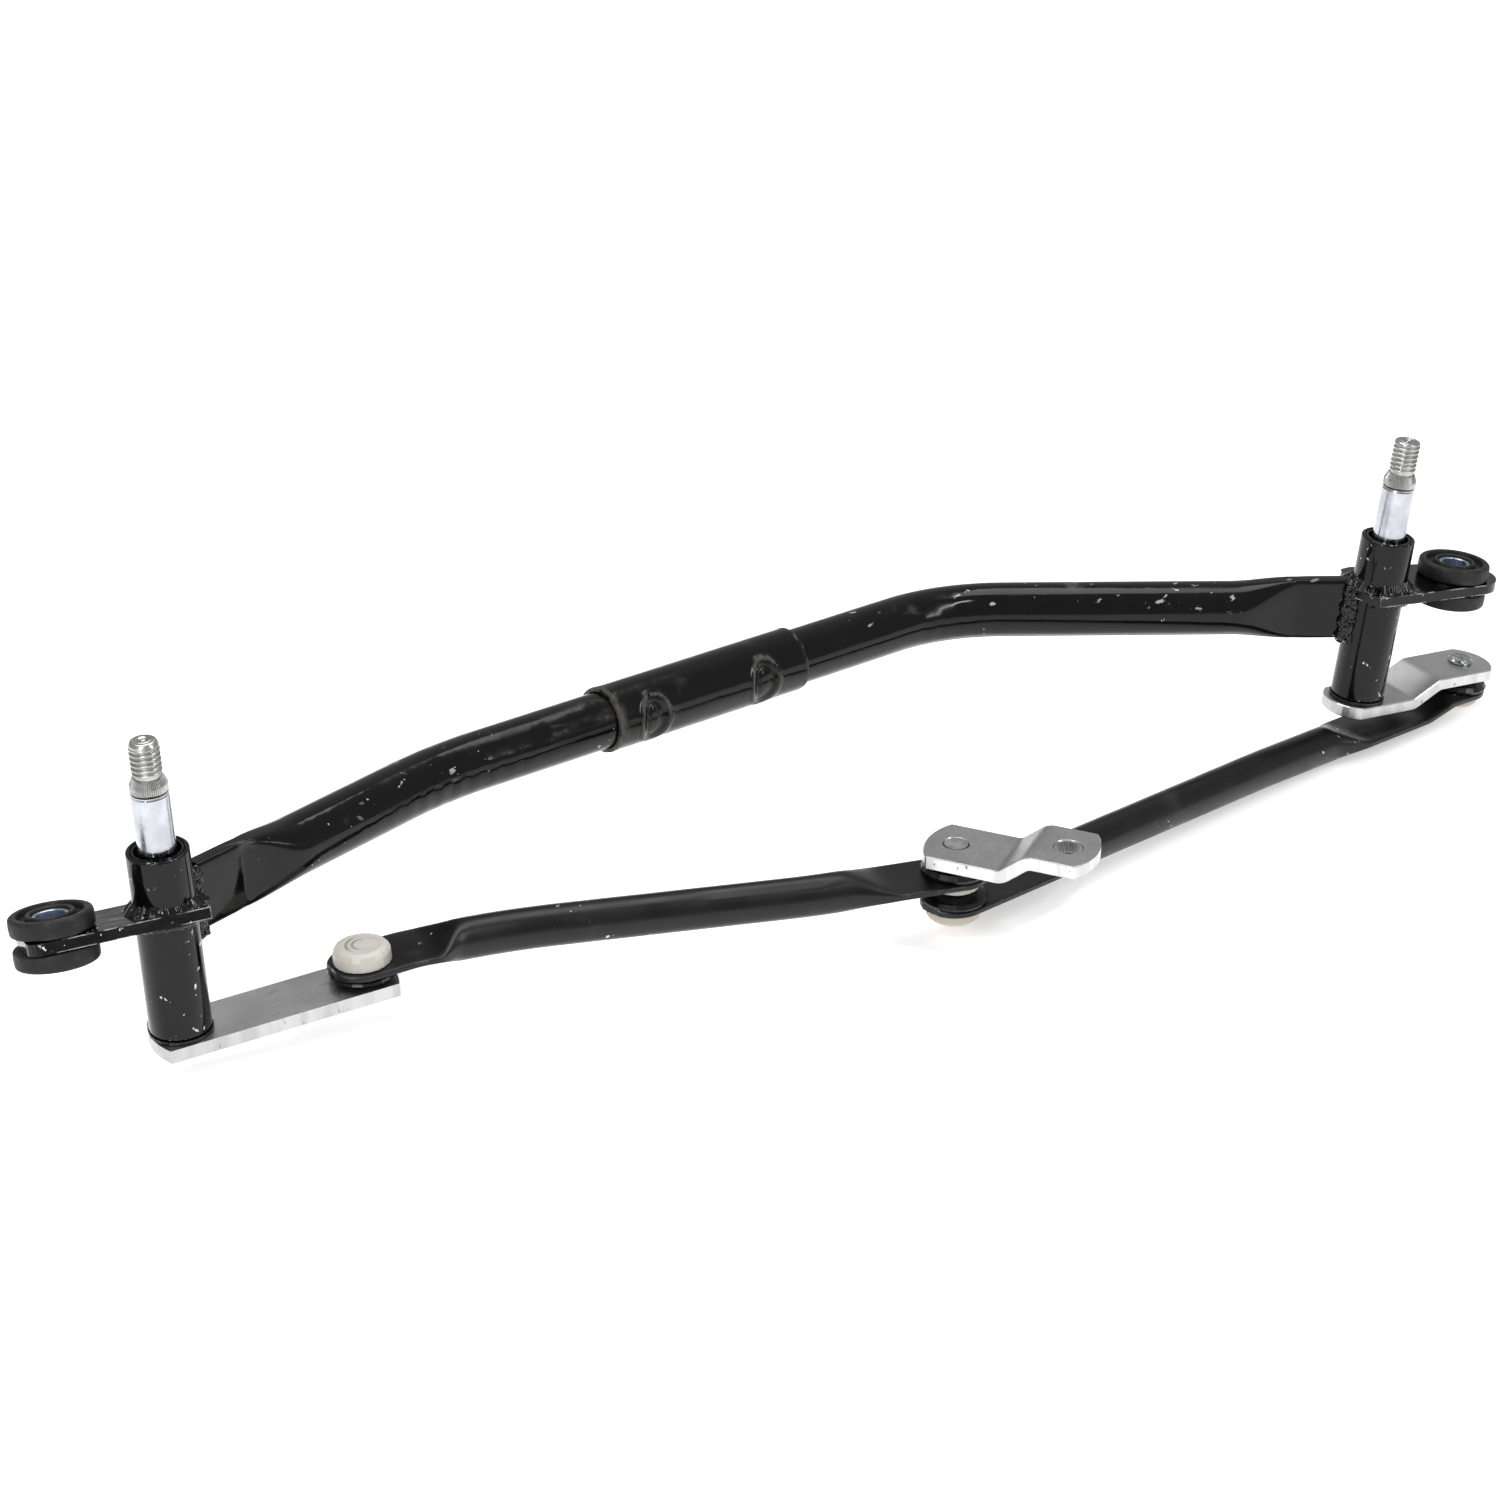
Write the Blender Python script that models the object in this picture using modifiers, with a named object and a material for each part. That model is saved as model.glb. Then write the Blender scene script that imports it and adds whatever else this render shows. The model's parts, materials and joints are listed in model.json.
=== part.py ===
"""Windshield wiper linkage: a bent tube frame with two wiper pivots, two tie rods and a crank arm.

Units are metres and +Z is up along the wiper shafts. All places are written in the pivot frame:
its origin is the bottom of the left housing, +X runs to the right housing and +Y is the far side.
The whole pivot frame is then shifted so that the world origin is the left cowl mount.
"""
import math

import bmesh
import bpy
from mathutils import Matrix, Vector

# ---- driving dimensions -------------------------------------------------------------------
GAP = 0.0003                            # running clearance between touching parts

PIVOT_SPACING = 0.5045                  # between the bottoms of the two housings
SHAFT_AXIS_LEFT = Vector((-0.0605, 0.027, 1)).normalized()
SHAFT_AXIS_RIGHT = Vector((0.103, -0.027, 1)).normalized()

HOUSING_BOTTOM = 0.0015                 # above the pivot frame
HOUSING_LENGTH = 0.0676                 # height of the housing mouth above the pivot frame
HOUSING_RADIUS = 0.0104
HOUSING_BORE = 0.0082
MOUTH_BORE = 0.0090
MOUTH_DEPTH = 0.0015
SHAFT_RADIUS = 0.00635
SHAFT_STAND = 0.0395                    # shaft above the housing
KNURL_START = 0.0209                    # above the housing
KNURL_LENGTH = 0.0055
THREAD_RADIUS = 0.0049
TIP_DOME_LEFT = 0.0012
FOOT_RADIUS = 0.0070                    # staked foot under the lever
FOOT_HEIGHT = 0.0010
BUSHING_LENGTH = 0.0140
UPPER_BUSHING_DEPTH = 0.0205            # its lower end, under the housing mouth
SEAL_DEPTH = 0.0045
RING_THICKNESS = 0.0010                 # retaining ring
WASHER_TOP = 0.0012
WASHER_BOTTOM = 0.0002
LEVER_TOP = -0.0001
LEVER_THICKNESS = 0.0048
SPIGOT_RADIUS = 0.0050                  # shaft end through the lever
LEVER_HOLE = SPIGOT_RADIUS + GAP

TUBE_RADIUS = 0.0105
TUBE_WALL = 0.0018
BLADE_HEIGHT = 0.0245                   # the tube's flattened end
BLADE_THICKNESS = 0.0065
BLADE_END = 0.0290                      # distance from the shaft axis to the end of the flat
BLADE_BLEND = 0.0280                    # length of the change from flat to round
FRAME_START = Vector((0.0, 0.0029, 0.0445))
FRAME_BEND_LEFT = Vector((0.1213, 0.0468, 0.0429))
FRAME_BEND_RIGHT = Vector((0.3571, 0.0783, 0.0398))
FRAME_END = Vector((0.5084, -0.0006, 0.0378))
FRAME_BEND_RADIUS_LEFT = 0.180
FRAME_BEND_RADIUS_RIGHT = 0.077
SLEEVE_CENTRE_X = 0.2369
SLEEVE_LENGTH = 0.0888
SLEEVE_RADIUS = 0.0121
TUBE_END_GAP = 0.002                    # between the two tubes inside the sleeve

TAB_THICKNESS = 0.0040
TAB_HEIGHT_LEFT = 0.0465                # top of the tab on the shaft axis
TAB_HEIGHT_RIGHT = 0.0474
TAB_NORMAL_LEFT = Vector((-0.002, 0.253, 0.968)).normalized()
TAB_NORMAL_RIGHT = Vector((0.108, 0.025, 0.994)).normalized()
TAB_DIRECTION_LEFT = Vector((-0.987, 0.154, -0.043))
TAB_DIRECTION_RIGHT = Vector((0.991, -0.028, -0.127))
TAB_REACH_LEFT = 0.0369                 # shaft axis to grommet centre
TAB_REACH_RIGHT = 0.0376
TAB_HALF_WIDTH_LEFT = 0.0126
TAB_HALF_WIDTH_RIGHT = 0.0134
TAB_INNER_LEFT = -0.0120                # ends of the tabs, from the shaft axis
TAB_OUTER_LEFT = 0.0477
TAB_CORNER_LEFT = 0.0040
TAB_INNER_RIGHT = -0.0100
TAB_ROUND_RIGHT = 0.0430                # centre of the rounded end
TAB_EAR_RIGHT = (                       # the far side's ear, round the back of the housing
    (0.0120, 0.0190),
    (0.0020, 0.0205),
    (-0.0030, 0.0195),
    (-0.0052, 0.0165),
    (-0.0060, 0.0120),
    (-0.0135, 0.0060),
)
GROMMET_RADIUS = 0.0139
GROMMET_NECK = 0.0100
GROMMET_FLANGE = 0.0060
GROMMET_GROOVE = 0.0050
GROMMET_BORE = 0.0065
GROMMET_EDGE = 0.0008
RING_GROOVE_INNER = 0.0080              # ring groove in the grommet's top
RING_GROOVE_OUTER = 0.0112
RING_GROOVE_DEPTH = 0.0020
BUSH_SLEEVE_RADIUS = 0.0062
BUSH_SLEEVE_BORE = 0.0048
BUSH_SLEEVE_DROP = 0.0008               # below the grommet's top

LEVER_LENGTH_LEFT = 0.0652              # shaft axis to ball
LEVER_LENGTH_RIGHT = 0.0555
LEVER_HEADING_LEFT = math.radians(-4.5)
LEVER_HEADING_RIGHT = math.radians(2.2)
LEVER_HALF_WIDTH_LEFT = 0.0116
LEVER_HALF_WIDTH_RIGHT = 0.0113
LEVER_CORNER_LEFT = 0.0079              # hole centre to the end's corners, along the lever
LEVER_END_RADIUS_LEFT = 0.0280
LEVER_CORNER_RIGHT = 0.0066
LEVER_END_RADIUS_RIGHT = 0.0131
LEVER_RISE_START = 0.0215
LEVER_RISE_END = 0.0340
LEVER_RISE = 0.0065
BALL_HEIGHT_LEFT = 0.0047               # ball centres along the shaft axes
BALL_HEIGHT_RIGHT = -0.0048
BALL_RADIUS = 0.0040
BALL_NECK = 0.0026
STUD_SHANK = 0.0035
STUD_HOLE = STUD_SHANK + GAP
BALL_CLEARANCE = 0.00035

CRANK_PIN = Vector((0.2752, -0.0506, 0))
CRANK_HEADING = math.radians(-54.9)
CRANK_LENGTH = 0.0410
CRANK_TOP = 0.0185
CRANK_THICKNESS = 0.0050
CRANK_HALF_WIDTH = 0.0137
CRANK_CORNER = 0.0066
CRANK_END_RADIUS = 0.0240
CRANK_RISE_START = 0.0200
CRANK_RISE_END = 0.0293
CRANK_RISE = 0.0077
CRANK_HOLE_TOP = 0.0050
CRANK_HOLE_BOTTOM = 0.0054
UPPER_BALL_HEIGHT = 0.0066
UPPER_BALL_RADIUS = 0.0042
LOWER_BALL_HEIGHT = -0.0044
LOWER_BALL_RADIUS = 0.0034
LOWER_BALL_NECK = 0.0024
CRANK_BALL_NECK = 0.0029
CRANK_RIVET = 0.0043
CRANK_COLLAR = 0.0056
COLLAR_THICKNESS = 0.0011
OPEN_SOCKET_RADIUS = 0.0053             # wide, because the linkage is opened at this ball
OPEN_NECK = 0.0070

ROD_RADIUS = 0.00725
EYE_THICKNESS = 0.0026
EYE_HALF_WIDTH = 0.0122                 # of the round end
EYE_PLATE_HALF_WIDTH = 0.0118           # of the flat behind it
SOCKET_NECK = 0.0063
EYE_HOLE = SOCKET_NECK + GAP
CAP_RADIUS = 0.0100
CAP_TALL = 0.0073                       # cap tops from the ball's centre
CAP_LOW = 0.0056
CAP_OPEN = 0.0064
BOOT_WALL = 0.0007
ROD_BEND_OUTER = Vector((0.1165, -0.0084, 0.0082))
ROD_BEND_INNER = Vector((0.2220, -0.0395, 0.0070))
ROD_BEND_RADIUS_OUTER = 0.170
ROD_BEND_RADIUS_INNER = 0.220
LEFT_ROD_EXIT = 0.0160                  # straight flat next to the left ball
RIGHT_ROD_EXIT = 0.0145
RIGHT_ROD_DIP = -0.0022
ROD_ENDS_LEFT = (0.023, 0.035, 0.022, 0.045)    # flat until, round from: lever end, crank end
ROD_ENDS_RIGHT = (0.066, 0.084, 0.042, 0.060)

ROD_AXIS_LEFT = Vector((-0.026, -0.059, 1)).normalized()
ROD_AXIS_RIGHT = Vector((0.085, 0.037, 1)).normalized()

TURN_STEPS = 22
TUBE_SIDES = 20
PLATE_EDGE = 0.0004                     # width of the plates' edge chamfers
BAR_REACH = 0.040                       # bent strips overrun their outline by this much
UP = Vector((0, 0, 1))

MATERIALS = {
    "black_paint": ((0.012, 0.012, 0.013), 0.28, 0.0),
    "satin_black": ((0.018, 0.018, 0.018), 0.42, 0.0),
    "zinc": ((0.62, 0.63, 0.64), 0.32, 1.0),
    "worn_steel": ((0.36, 0.36, 0.36), 0.38, 1.0),
    "rubber": ((0.015, 0.015, 0.015), 0.75, 0.0),
    "white_nylon": ((0.78, 0.76, 0.68), 0.45, 0.0),
    "beige_nylon": ((0.62, 0.52, 0.36), 0.50, 0.0),
    "bronze": ((0.50, 0.33, 0.16), 0.40, 1.0),
}


# ---- scene, frames and materials ----------------------------------------------------------
def clear_scene():
    """Remove every object of the scene."""
    for obj in list(bpy.data.objects):
        bpy.data.objects.remove(obj, do_unlink=True)


def new_collection(name):
    """Return a new collection linked to the scene."""
    collection = bpy.data.collections.new(name)
    bpy.context.scene.collection.children.link(collection)
    return collection


def make_material(name):
    """Return a Principled material with the listed colour, roughness and metallic value."""
    colour, roughness, metallic = MATERIALS[name]
    material = bpy.data.materials.new(name)
    material.use_nodes = True
    shader = material.node_tree.nodes["Principled BSDF"]
    shader.inputs["Base Color"].default_value = (*colour, 1)
    shader.inputs["Roughness"].default_value = roughness
    shader.inputs["Metallic"].default_value = metallic
    return material


def axes_matrix(origin, up, forward):
    """Return the matrix of a frame with local Z along up and local X as near forward as it can be."""
    z_axis = up.normalized()
    x_axis = (forward - forward.dot(z_axis) * z_axis).normalized()
    y_axis = z_axis.cross(x_axis)
    matrix = Matrix((x_axis, y_axis, z_axis)).transposed().to_4x4()
    matrix.translation = origin
    return matrix


def add_frame(name, matrix, parent=None):
    """Add an empty at a matrix given in the pivot frame."""
    empty = bpy.data.objects.new(name, None)
    empty.empty_display_size = 0.02
    SHAPES.objects.link(empty)
    if parent is not None:
        empty.parent = parent
        empty.matrix_local = parent.matrix_world.inverted() @ PIVOT_FRAME.matrix_world @ matrix
    bpy.context.view_layer.update()
    return empty


def to_local(point, frame):
    """Return a point of the pivot frame in another frame's coordinates."""
    return frame.matrix_world.inverted() @ PIVOT_FRAME.matrix_world @ point


# ---- shape helpers ------------------------------------------------------------------------
def place(obj, frame, material, cutter=False):
    """Put an object in its collection and frame, with its material; cutters stay out of the build."""
    for collection in list(obj.users_collection):
        collection.objects.unlink(obj)
    (CUTTERS if cutter else SHAPES).objects.link(obj)
    obj.parent = frame
    if cutter:
        obj.hide_render = True
        obj.display_type = "WIRE"
    else:
        obj.data.materials.clear()
        obj.data.materials.append(MATERIAL[material])
    bpy.context.view_layer.update()
    return obj


def turned(name, profile, frame, material, location=(0, 0, 0), closed=True, cutter=False):
    """Turn a profile of (radius, height) points, outer side first and downwards, about local Z."""
    mesh = bpy.data.meshes.new(name)
    points = [(radius, 0, height) for radius, height in profile]
    edges = [(i, i + 1) for i in range(len(points) - 1)]
    if closed:
        edges.append((len(points) - 1, 0))
    mesh.from_pydata(points, edges, [])
    obj = bpy.data.objects.new(name, mesh)
    screw = obj.modifiers.new("turn", "SCREW")
    screw.steps = TURN_STEPS
    screw.render_steps = TURN_STEPS
    screw.use_merge_vertices = True
    screw.merge_threshold = 0.00001
    obj.location = location
    return place(obj, frame, material, cutter)


def arc(centre_x, centre_y, radius, start, end, steps):
    """Return points on an arc, with the angles in degrees."""
    angles = [math.radians(start + (end - start) * i / steps) for i in range(steps + 1)]
    return [(centre_x + radius * math.cos(a), centre_y + radius * math.sin(a)) for a in angles]


def ball_arc(centre, radius, top_height, bottom_height, steps=6):
    """Return the (radius, height) points of a ball between two heights, downwards."""
    start = math.degrees(math.asin(max(-1, min(1, (top_height - centre) / radius))))
    end = math.degrees(math.asin(max(-1, min(1, (bottom_height - centre) / radius))))
    points = arc(0, centre, radius, start, end, steps)
    return [(max(0, x), y) for x, y in points]


def curve_prism(name, outline, depth, matrix, frame):
    """Return a closed mesh made from a flat outline, extruded by depth to both sides of its plane."""
    curve = bpy.data.curves.new(name, "CURVE")
    curve.dimensions = "2D"
    curve.fill_mode = "BOTH"
    curve.extrude = depth
    spline = curve.splines.new("POLY")
    spline.points.add(len(outline) - 1)
    for point, (x, y) in zip(spline.points, outline):
        point.co = (x, y, 0, 1)
    spline.use_cyclic_u = True
    guide = bpy.data.objects.new(name + "_curve", curve)
    place(guide, frame, None, cutter=True)
    guide.matrix_local = matrix
    bpy.context.view_layer.update()
    evaluated = guide.evaluated_get(bpy.context.evaluated_depsgraph_get())
    mesh = bpy.data.meshes.new_from_object(evaluated)
    obj = bpy.data.objects.new(name, mesh)
    SHAPES.objects.link(obj)
    obj.parent = frame
    obj.matrix_local = guide.matrix_local
    bpy.data.objects.remove(guide, do_unlink=True)
    weld(mesh)
    return obj


def weld(mesh):
    """Join a mesh's loose caps and turn its faces outwards."""
    shape = bmesh.new()
    shape.from_mesh(mesh)
    bmesh.ops.remove_doubles(shape, verts=shape.verts, dist=0.000001)
    bmesh.ops.recalc_face_normals(shape, faces=shape.faces)
    shape.to_mesh(mesh)
    shape.free()


def cylinder_cutter(name, radius, bottom, top, frame, location=(0, 0), radius_top=None):
    """Return a round cutter along its frame's local Z."""
    upper = radius if radius_top is None else radius_top
    profile = [(0, top), (upper, top), (radius, bottom), (0, bottom)]
    return turned(name, profile, frame, None, (*location, 0), closed=False, cutter=True)


def boolean(obj, cutter, operation="DIFFERENCE"):
    """Add a Boolean modifier."""
    modifier = obj.modifiers.new(cutter.name, "BOOLEAN")
    modifier.operation = operation
    modifier.object = cutter
    modifier.solver = "EXACT"


def bevel(obj, width, segments=1):
    """Round an object's sharp edges."""
    modifier = obj.modifiers.new("edges", "BEVEL")
    modifier.width = width
    modifier.segments = segments
    modifier.limit_method = "ANGLE"
    modifier.angle_limit = math.radians(50)
    modifier.use_clamp_overlap = True


def rounded_path(points, radii, step):
    """Return points along a polyline whose inner corners are rounded with the given radii."""
    path = [points[0].copy()]
    for corner, radius, before, after in zip(points[1:-1], radii, points[:-2], points[2:]):
        arriving = (corner - before).normalized()
        leaving = (after - corner).normalized()
        turn = arriving.angle(leaving)
        cut = radius * math.tan(turn / 2)
        start = corner - arriving * cut
        side = (leaving - arriving * arriving.dot(leaving)).normalized()
        centre = start + side * radius
        count = max(2, math.ceil(radius * turn / step))
        for i in range(count + 1):
            angle = turn * i / count
            path.append(centre - side * radius * math.cos(angle) + arriving * radius * math.sin(angle))
    path.append(points[-1].copy())
    return path


def point_along(path, distance):
    """Return the point and the direction at a distance along a path."""
    remaining = distance
    for start, end in zip(path[:-1], path[1:]):
        length = (end - start).length
        if remaining <= length or end is path[-1]:
            direction = (end - start).normalized()
            return start + direction * remaining, direction
        remaining -= length


def path_length(path):
    """Return the length of a path."""
    return sum((end - start).length for start, end in zip(path[:-1], path[1:]))


def section_ring(centre, along, up, half_width, half_height, squareness, sides):
    """Return a ring of points: an ellipse at squareness 0, nearly a rectangle at squareness 1."""
    side = up.cross(along).normalized()
    upward = along.cross(side).normalized()
    power = 1 - 0.72 * squareness
    ring = []
    for i in range(sides):
        angle = 2 * math.pi * (i + 0.5) / sides
        across = math.copysign(abs(math.cos(angle)) ** power, math.cos(angle)) * half_width
        height = math.copysign(abs(math.sin(angle)) ** power, math.sin(angle)) * half_height
        ring.append(centre + side * across + upward * height)
    return ring


def loft(name, rings, frame, material):
    """Join rings of equal size into one closed body with a cap on its first and last ring."""
    shape = bmesh.new()
    rows = [[shape.verts.new(to_local(point, frame)) for point in ring] for ring in rings]
    count = len(rows[0])
    for row, following in zip(rows[:-1], rows[1:]):
        for i in range(count):
            j = (i + 1) % count
            shape.faces.new((row[i], row[j], following[j], following[i]))
    shape.faces.new(rows[0])
    shape.faces.new(rows[-1])
    bmesh.ops.recalc_face_normals(shape, faces=shape.faces)
    mesh = bpy.data.meshes.new(name)
    shape.to_mesh(mesh)
    shape.free()
    obj = bpy.data.objects.new(name, mesh)
    return place(obj, frame, material)


def ease(value):
    """Return a smooth step from 0 to 1."""
    value = max(0, min(1, value))
    return value * value * (3 - 2 * value)


# ---- pivots: what is the same on both sides -----------------------------------------------
def pivot_housing(side, frame):
    """The tube that holds a wiper shaft, with a wider mouth for the retaining ring."""
    profile = [
        (HOUSING_RADIUS - 0.0006, HOUSING_LENGTH),
        (HOUSING_RADIUS, HOUSING_LENGTH - 0.0006),
        (HOUSING_RADIUS, HOUSING_BOTTOM + 0.0005),
        (HOUSING_RADIUS - 0.0005, HOUSING_BOTTOM),
        (HOUSING_BORE, HOUSING_BOTTOM),
        (HOUSING_BORE, HOUSING_LENGTH - MOUTH_DEPTH),
        (MOUTH_BORE, HOUSING_LENGTH - MOUTH_DEPTH),
        (MOUTH_BORE, HOUSING_LENGTH),
    ]
    turned("pivot_housing_" + side, profile, frame, "black_paint")


def ring_profile(outer, inner, bottom, top):
    """Return the profile of a plain ring."""
    return [(outer, top), (outer, bottom), (inner, bottom), (inner, top)]


def chamfered_ring_profile(outer, inner, bottom, top, edge):
    """Return the profile of a ring with its outer corners cut."""
    return [
        (outer - edge, top),
        (outer, top - edge),
        (outer, bottom + edge),
        (outer - edge, bottom),
        (inner, bottom),
        (inner, top),
    ]


def bearings(side, frame):
    """The two bushings, the seal ring and the thrust washer of one pivot."""
    outer = HOUSING_BORE - GAP
    inner = SHAFT_RADIUS + GAP
    lower = HOUSING_BOTTOM + 2 * GAP
    upper = HOUSING_LENGTH - UPPER_BUSHING_DEPTH
    turned("bushing_lower_" + side, ring_profile(outer, inner, lower, lower + BUSHING_LENGTH),
           frame, "bronze")
    turned("bushing_upper_" + side, ring_profile(outer, inner, upper, upper + BUSHING_LENGTH),
           frame, "bronze")
    seal_radius = (outer - inner) / 2
    seal = arc(inner + seal_radius, HOUSING_LENGTH - SEAL_DEPTH, seal_radius, 90, -270, 8)[:-1]
    turned("shaft_seal_" + side, seal, frame, "rubber")
    turned("thrust_washer_" + side,
           ring_profile(HOUSING_RADIUS + 0.0004, inner, WASHER_BOTTOM, WASHER_TOP), frame, "zinc")


def pivot_shaft(side, frame, tip_dome):
    """The wiper shaft: staked foot, spigot, bearing length, knurl and thread length."""
    top = HOUSING_LENGTH + SHAFT_STAND
    knurl_bottom = HOUSING_LENGTH + KNURL_START
    knurl_top = knurl_bottom + KNURL_LENGTH
    knurl_radius = SHAFT_RADIUS - 0.00025
    relief_radius = THREAD_RADIUS - 0.0005
    foot = LEVER_TOP - LEVER_THICKNESS - GAP
    profile = [
        (0, top),
        (0.0022, top),
        (0.0040, top - 0.5 * tip_dome),
        (THREAD_RADIUS, top - tip_dome - 0.0004),
        (THREAD_RADIUS, knurl_top + 0.0012),
        (relief_radius, knurl_top + 0.0008),
        (relief_radius, knurl_top + 0.0002),
        (knurl_radius - 0.0001, knurl_top - 0.0005),
        (knurl_radius, knurl_bottom + 0.0008),
        (knurl_radius, knurl_bottom),
        (SHAFT_RADIUS, knurl_bottom - 0.0003),
        (SHAFT_RADIUS, WASHER_BOTTOM),
        (SPIGOT_RADIUS, WASHER_BOTTOM),
        (SPIGOT_RADIUS, foot),
        (FOOT_RADIUS, foot),
        (FOOT_RADIUS, foot - 0.0006),
        (FOOT_RADIUS - 0.0008, foot - FOOT_HEIGHT),
        (0, foot - FOOT_HEIGHT),
    ]
    turned("pivot_shaft_" + side, profile, frame, "zinc", closed=False)


def retaining_ring(side, frame):
    """The ring in the housing's mouth that holds the shaft down."""
    bottom = HOUSING_LENGTH - MOUTH_DEPTH + GAP
    profile = ring_profile(MOUTH_BORE - 0.0004, SHAFT_RADIUS + GAP, bottom, bottom + RING_THICKNESS)
    turned("retaining_ring_" + side, profile, frame, "worn_steel")


# ---- levers and crank arm -----------------------------------------------------------------
def bar_outline(length, half_width, corner, end_radius):
    """Return a straight bar's outline: its corners lie past the hole centres, joined by arcs."""
    spread = math.degrees(math.asin(half_width / end_radius))
    inset = math.sqrt(end_radius ** 2 - half_width ** 2) - corner
    right = arc(length - inset, 0, end_radius, -spread, spread, 10)
    left = arc(inset, 0, end_radius, 180 - spread, 180 + spread, 10)
    return right + left


def bent_profile(top, thickness, rise_start, rise_end, rise):
    """Return a strip's side profile with one step up: top edge out, bottom edge back."""
    slope = math.atan2(rise, rise_end - rise_start)
    shift = thickness * math.tan(slope / 2)
    tight = 0.0030
    wide = tight + thickness

    def edge(height, offset, first_radius, second_radius):
        corners = [
            Vector((-BAR_REACH, height, 0)),
            Vector((rise_start + offset, height, 0)),
            Vector((rise_end + offset, height + rise, 0)),
            Vector((rise_end + BAR_REACH, height + rise, 0)),
        ]
        return [(p.x, p.y) for p in rounded_path(corners, (first_radius, second_radius), 0.0012)]

    upper = edge(top, 0, tight, wide)
    lower = edge(top - thickness, shift, wide, tight)
    return upper + lower[::-1]


def flat_bar(name, outline, bottom, top, frame, material):
    """A flat plate between two heights."""
    lift = Matrix.Translation((0, 0, (bottom + top) / 2))
    bar = curve_prism(name, outline, (top - bottom) / 2, lift, frame)
    return place(bar, frame, material)


def bent_bar(name, outline, profile, half_width, middle, half_height, frame, material):
    """A plate bent to a side profile and cut to a plan outline."""
    stand_up = Matrix.Rotation(math.pi / 2, 4, "X")
    bar = curve_prism(name, profile, half_width + 0.003, stand_up, frame)
    place(bar, frame, material)
    lift = Matrix.Translation((0, 0, middle))
    plan = curve_prism(name + "_plan", outline, half_height, lift, frame)
    place(plan, frame, None, cutter=True)
    boolean(bar, plan, "INTERSECT")
    return bar


def pivot_lever_left(frame):
    """The flat left lever."""
    outline = bar_outline(LEVER_LENGTH_LEFT, LEVER_HALF_WIDTH_LEFT, LEVER_CORNER_LEFT,
                          LEVER_END_RADIUS_LEFT)
    lever = flat_bar("pivot_lever_left", outline, LEVER_TOP - LEVER_THICKNESS, LEVER_TOP,
                     frame, "worn_steel")
    drill_lever(lever, frame, LEVER_LENGTH_LEFT)


def pivot_lever_right(frame):
    """The right lever, stepped up towards its ball stud."""
    outline = bar_outline(LEVER_LENGTH_RIGHT, LEVER_HALF_WIDTH_RIGHT, LEVER_CORNER_RIGHT,
                          LEVER_END_RADIUS_RIGHT)
    profile = bent_profile(LEVER_TOP, LEVER_THICKNESS, LEVER_RISE_START, LEVER_RISE_END,
                           LEVER_RISE)
    lever = bent_bar("pivot_lever_right", outline, profile, LEVER_HALF_WIDTH_RIGHT, 0, 0.030,
                     frame, "zinc")
    drill_lever(lever, frame, LEVER_LENGTH_RIGHT)


def drill_lever(lever, frame, length):
    """Cut a lever's shaft hole and its ball stud hole, and round its edges."""
    depth = 0.020
    shaft_hole = cylinder_cutter(lever.name + "_shaft_hole", LEVER_HOLE, -depth, depth, frame)
    stud_hole = cylinder_cutter(lever.name + "_stud_hole", STUD_HOLE, -depth, depth, frame,
                                (length, 0))
    boolean(lever, shaft_hole)
    boolean(lever, stud_hole)
    bevel(lever, PLATE_EDGE)


def ball_stud_left(frame):
    """The left stud: riveted under the lever, with its ball above."""
    bottom = LEVER_TOP - LEVER_THICKNESS
    collar_top = LEVER_TOP + GAP + 0.0010
    ball_bottom = BALL_HEIGHT_LEFT - math.sqrt(BALL_RADIUS ** 2 - BALL_NECK ** 2)
    profile = ball_arc(BALL_HEIGHT_LEFT, BALL_RADIUS, BALL_HEIGHT_LEFT + BALL_RADIUS, ball_bottom)
    profile += [
        (BALL_NECK, collar_top),
        (0.0034, collar_top),
        (0.0052, LEVER_TOP + GAP),
        (STUD_SHANK, LEVER_TOP + GAP),
        (STUD_SHANK, bottom - GAP),
        (0.0052, bottom - GAP),
        (0.0046, bottom - GAP - 0.0014),
        (0, bottom - GAP - 0.0014),
    ]
    turned("ball_stud_left", profile, frame, "zinc", (LEVER_LENGTH_LEFT, 0, 0), closed=False)


def ball_stud_right(frame):
    """The right stud: riveted on top of the raised end, with its ball below."""
    top = LEVER_TOP + LEVER_RISE
    bottom = top - LEVER_THICKNESS
    ball_top = BALL_HEIGHT_RIGHT + math.sqrt(BALL_RADIUS ** 2 - BALL_NECK ** 2)
    profile = [
        (0, top + GAP + 0.0015),
        (0.0040, top + GAP + 0.0015),
        (0.0048, top + GAP + 0.0008),
        (0.0048, top + GAP),
        (STUD_SHANK, top + GAP),
        (STUD_SHANK, bottom - GAP),
        (0.0060, bottom - GAP),
        (0.0060, bottom - GAP - 0.0009),
        (BALL_NECK, bottom - GAP - 0.0012),
    ]
    profile += ball_arc(BALL_HEIGHT_RIGHT, BALL_RADIUS, ball_top, BALL_HEIGHT_RIGHT - BALL_RADIUS)
    turned("ball_stud_right", profile, frame, "zinc", (LEVER_LENGTH_RIGHT, 0, 0), closed=False)


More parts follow.
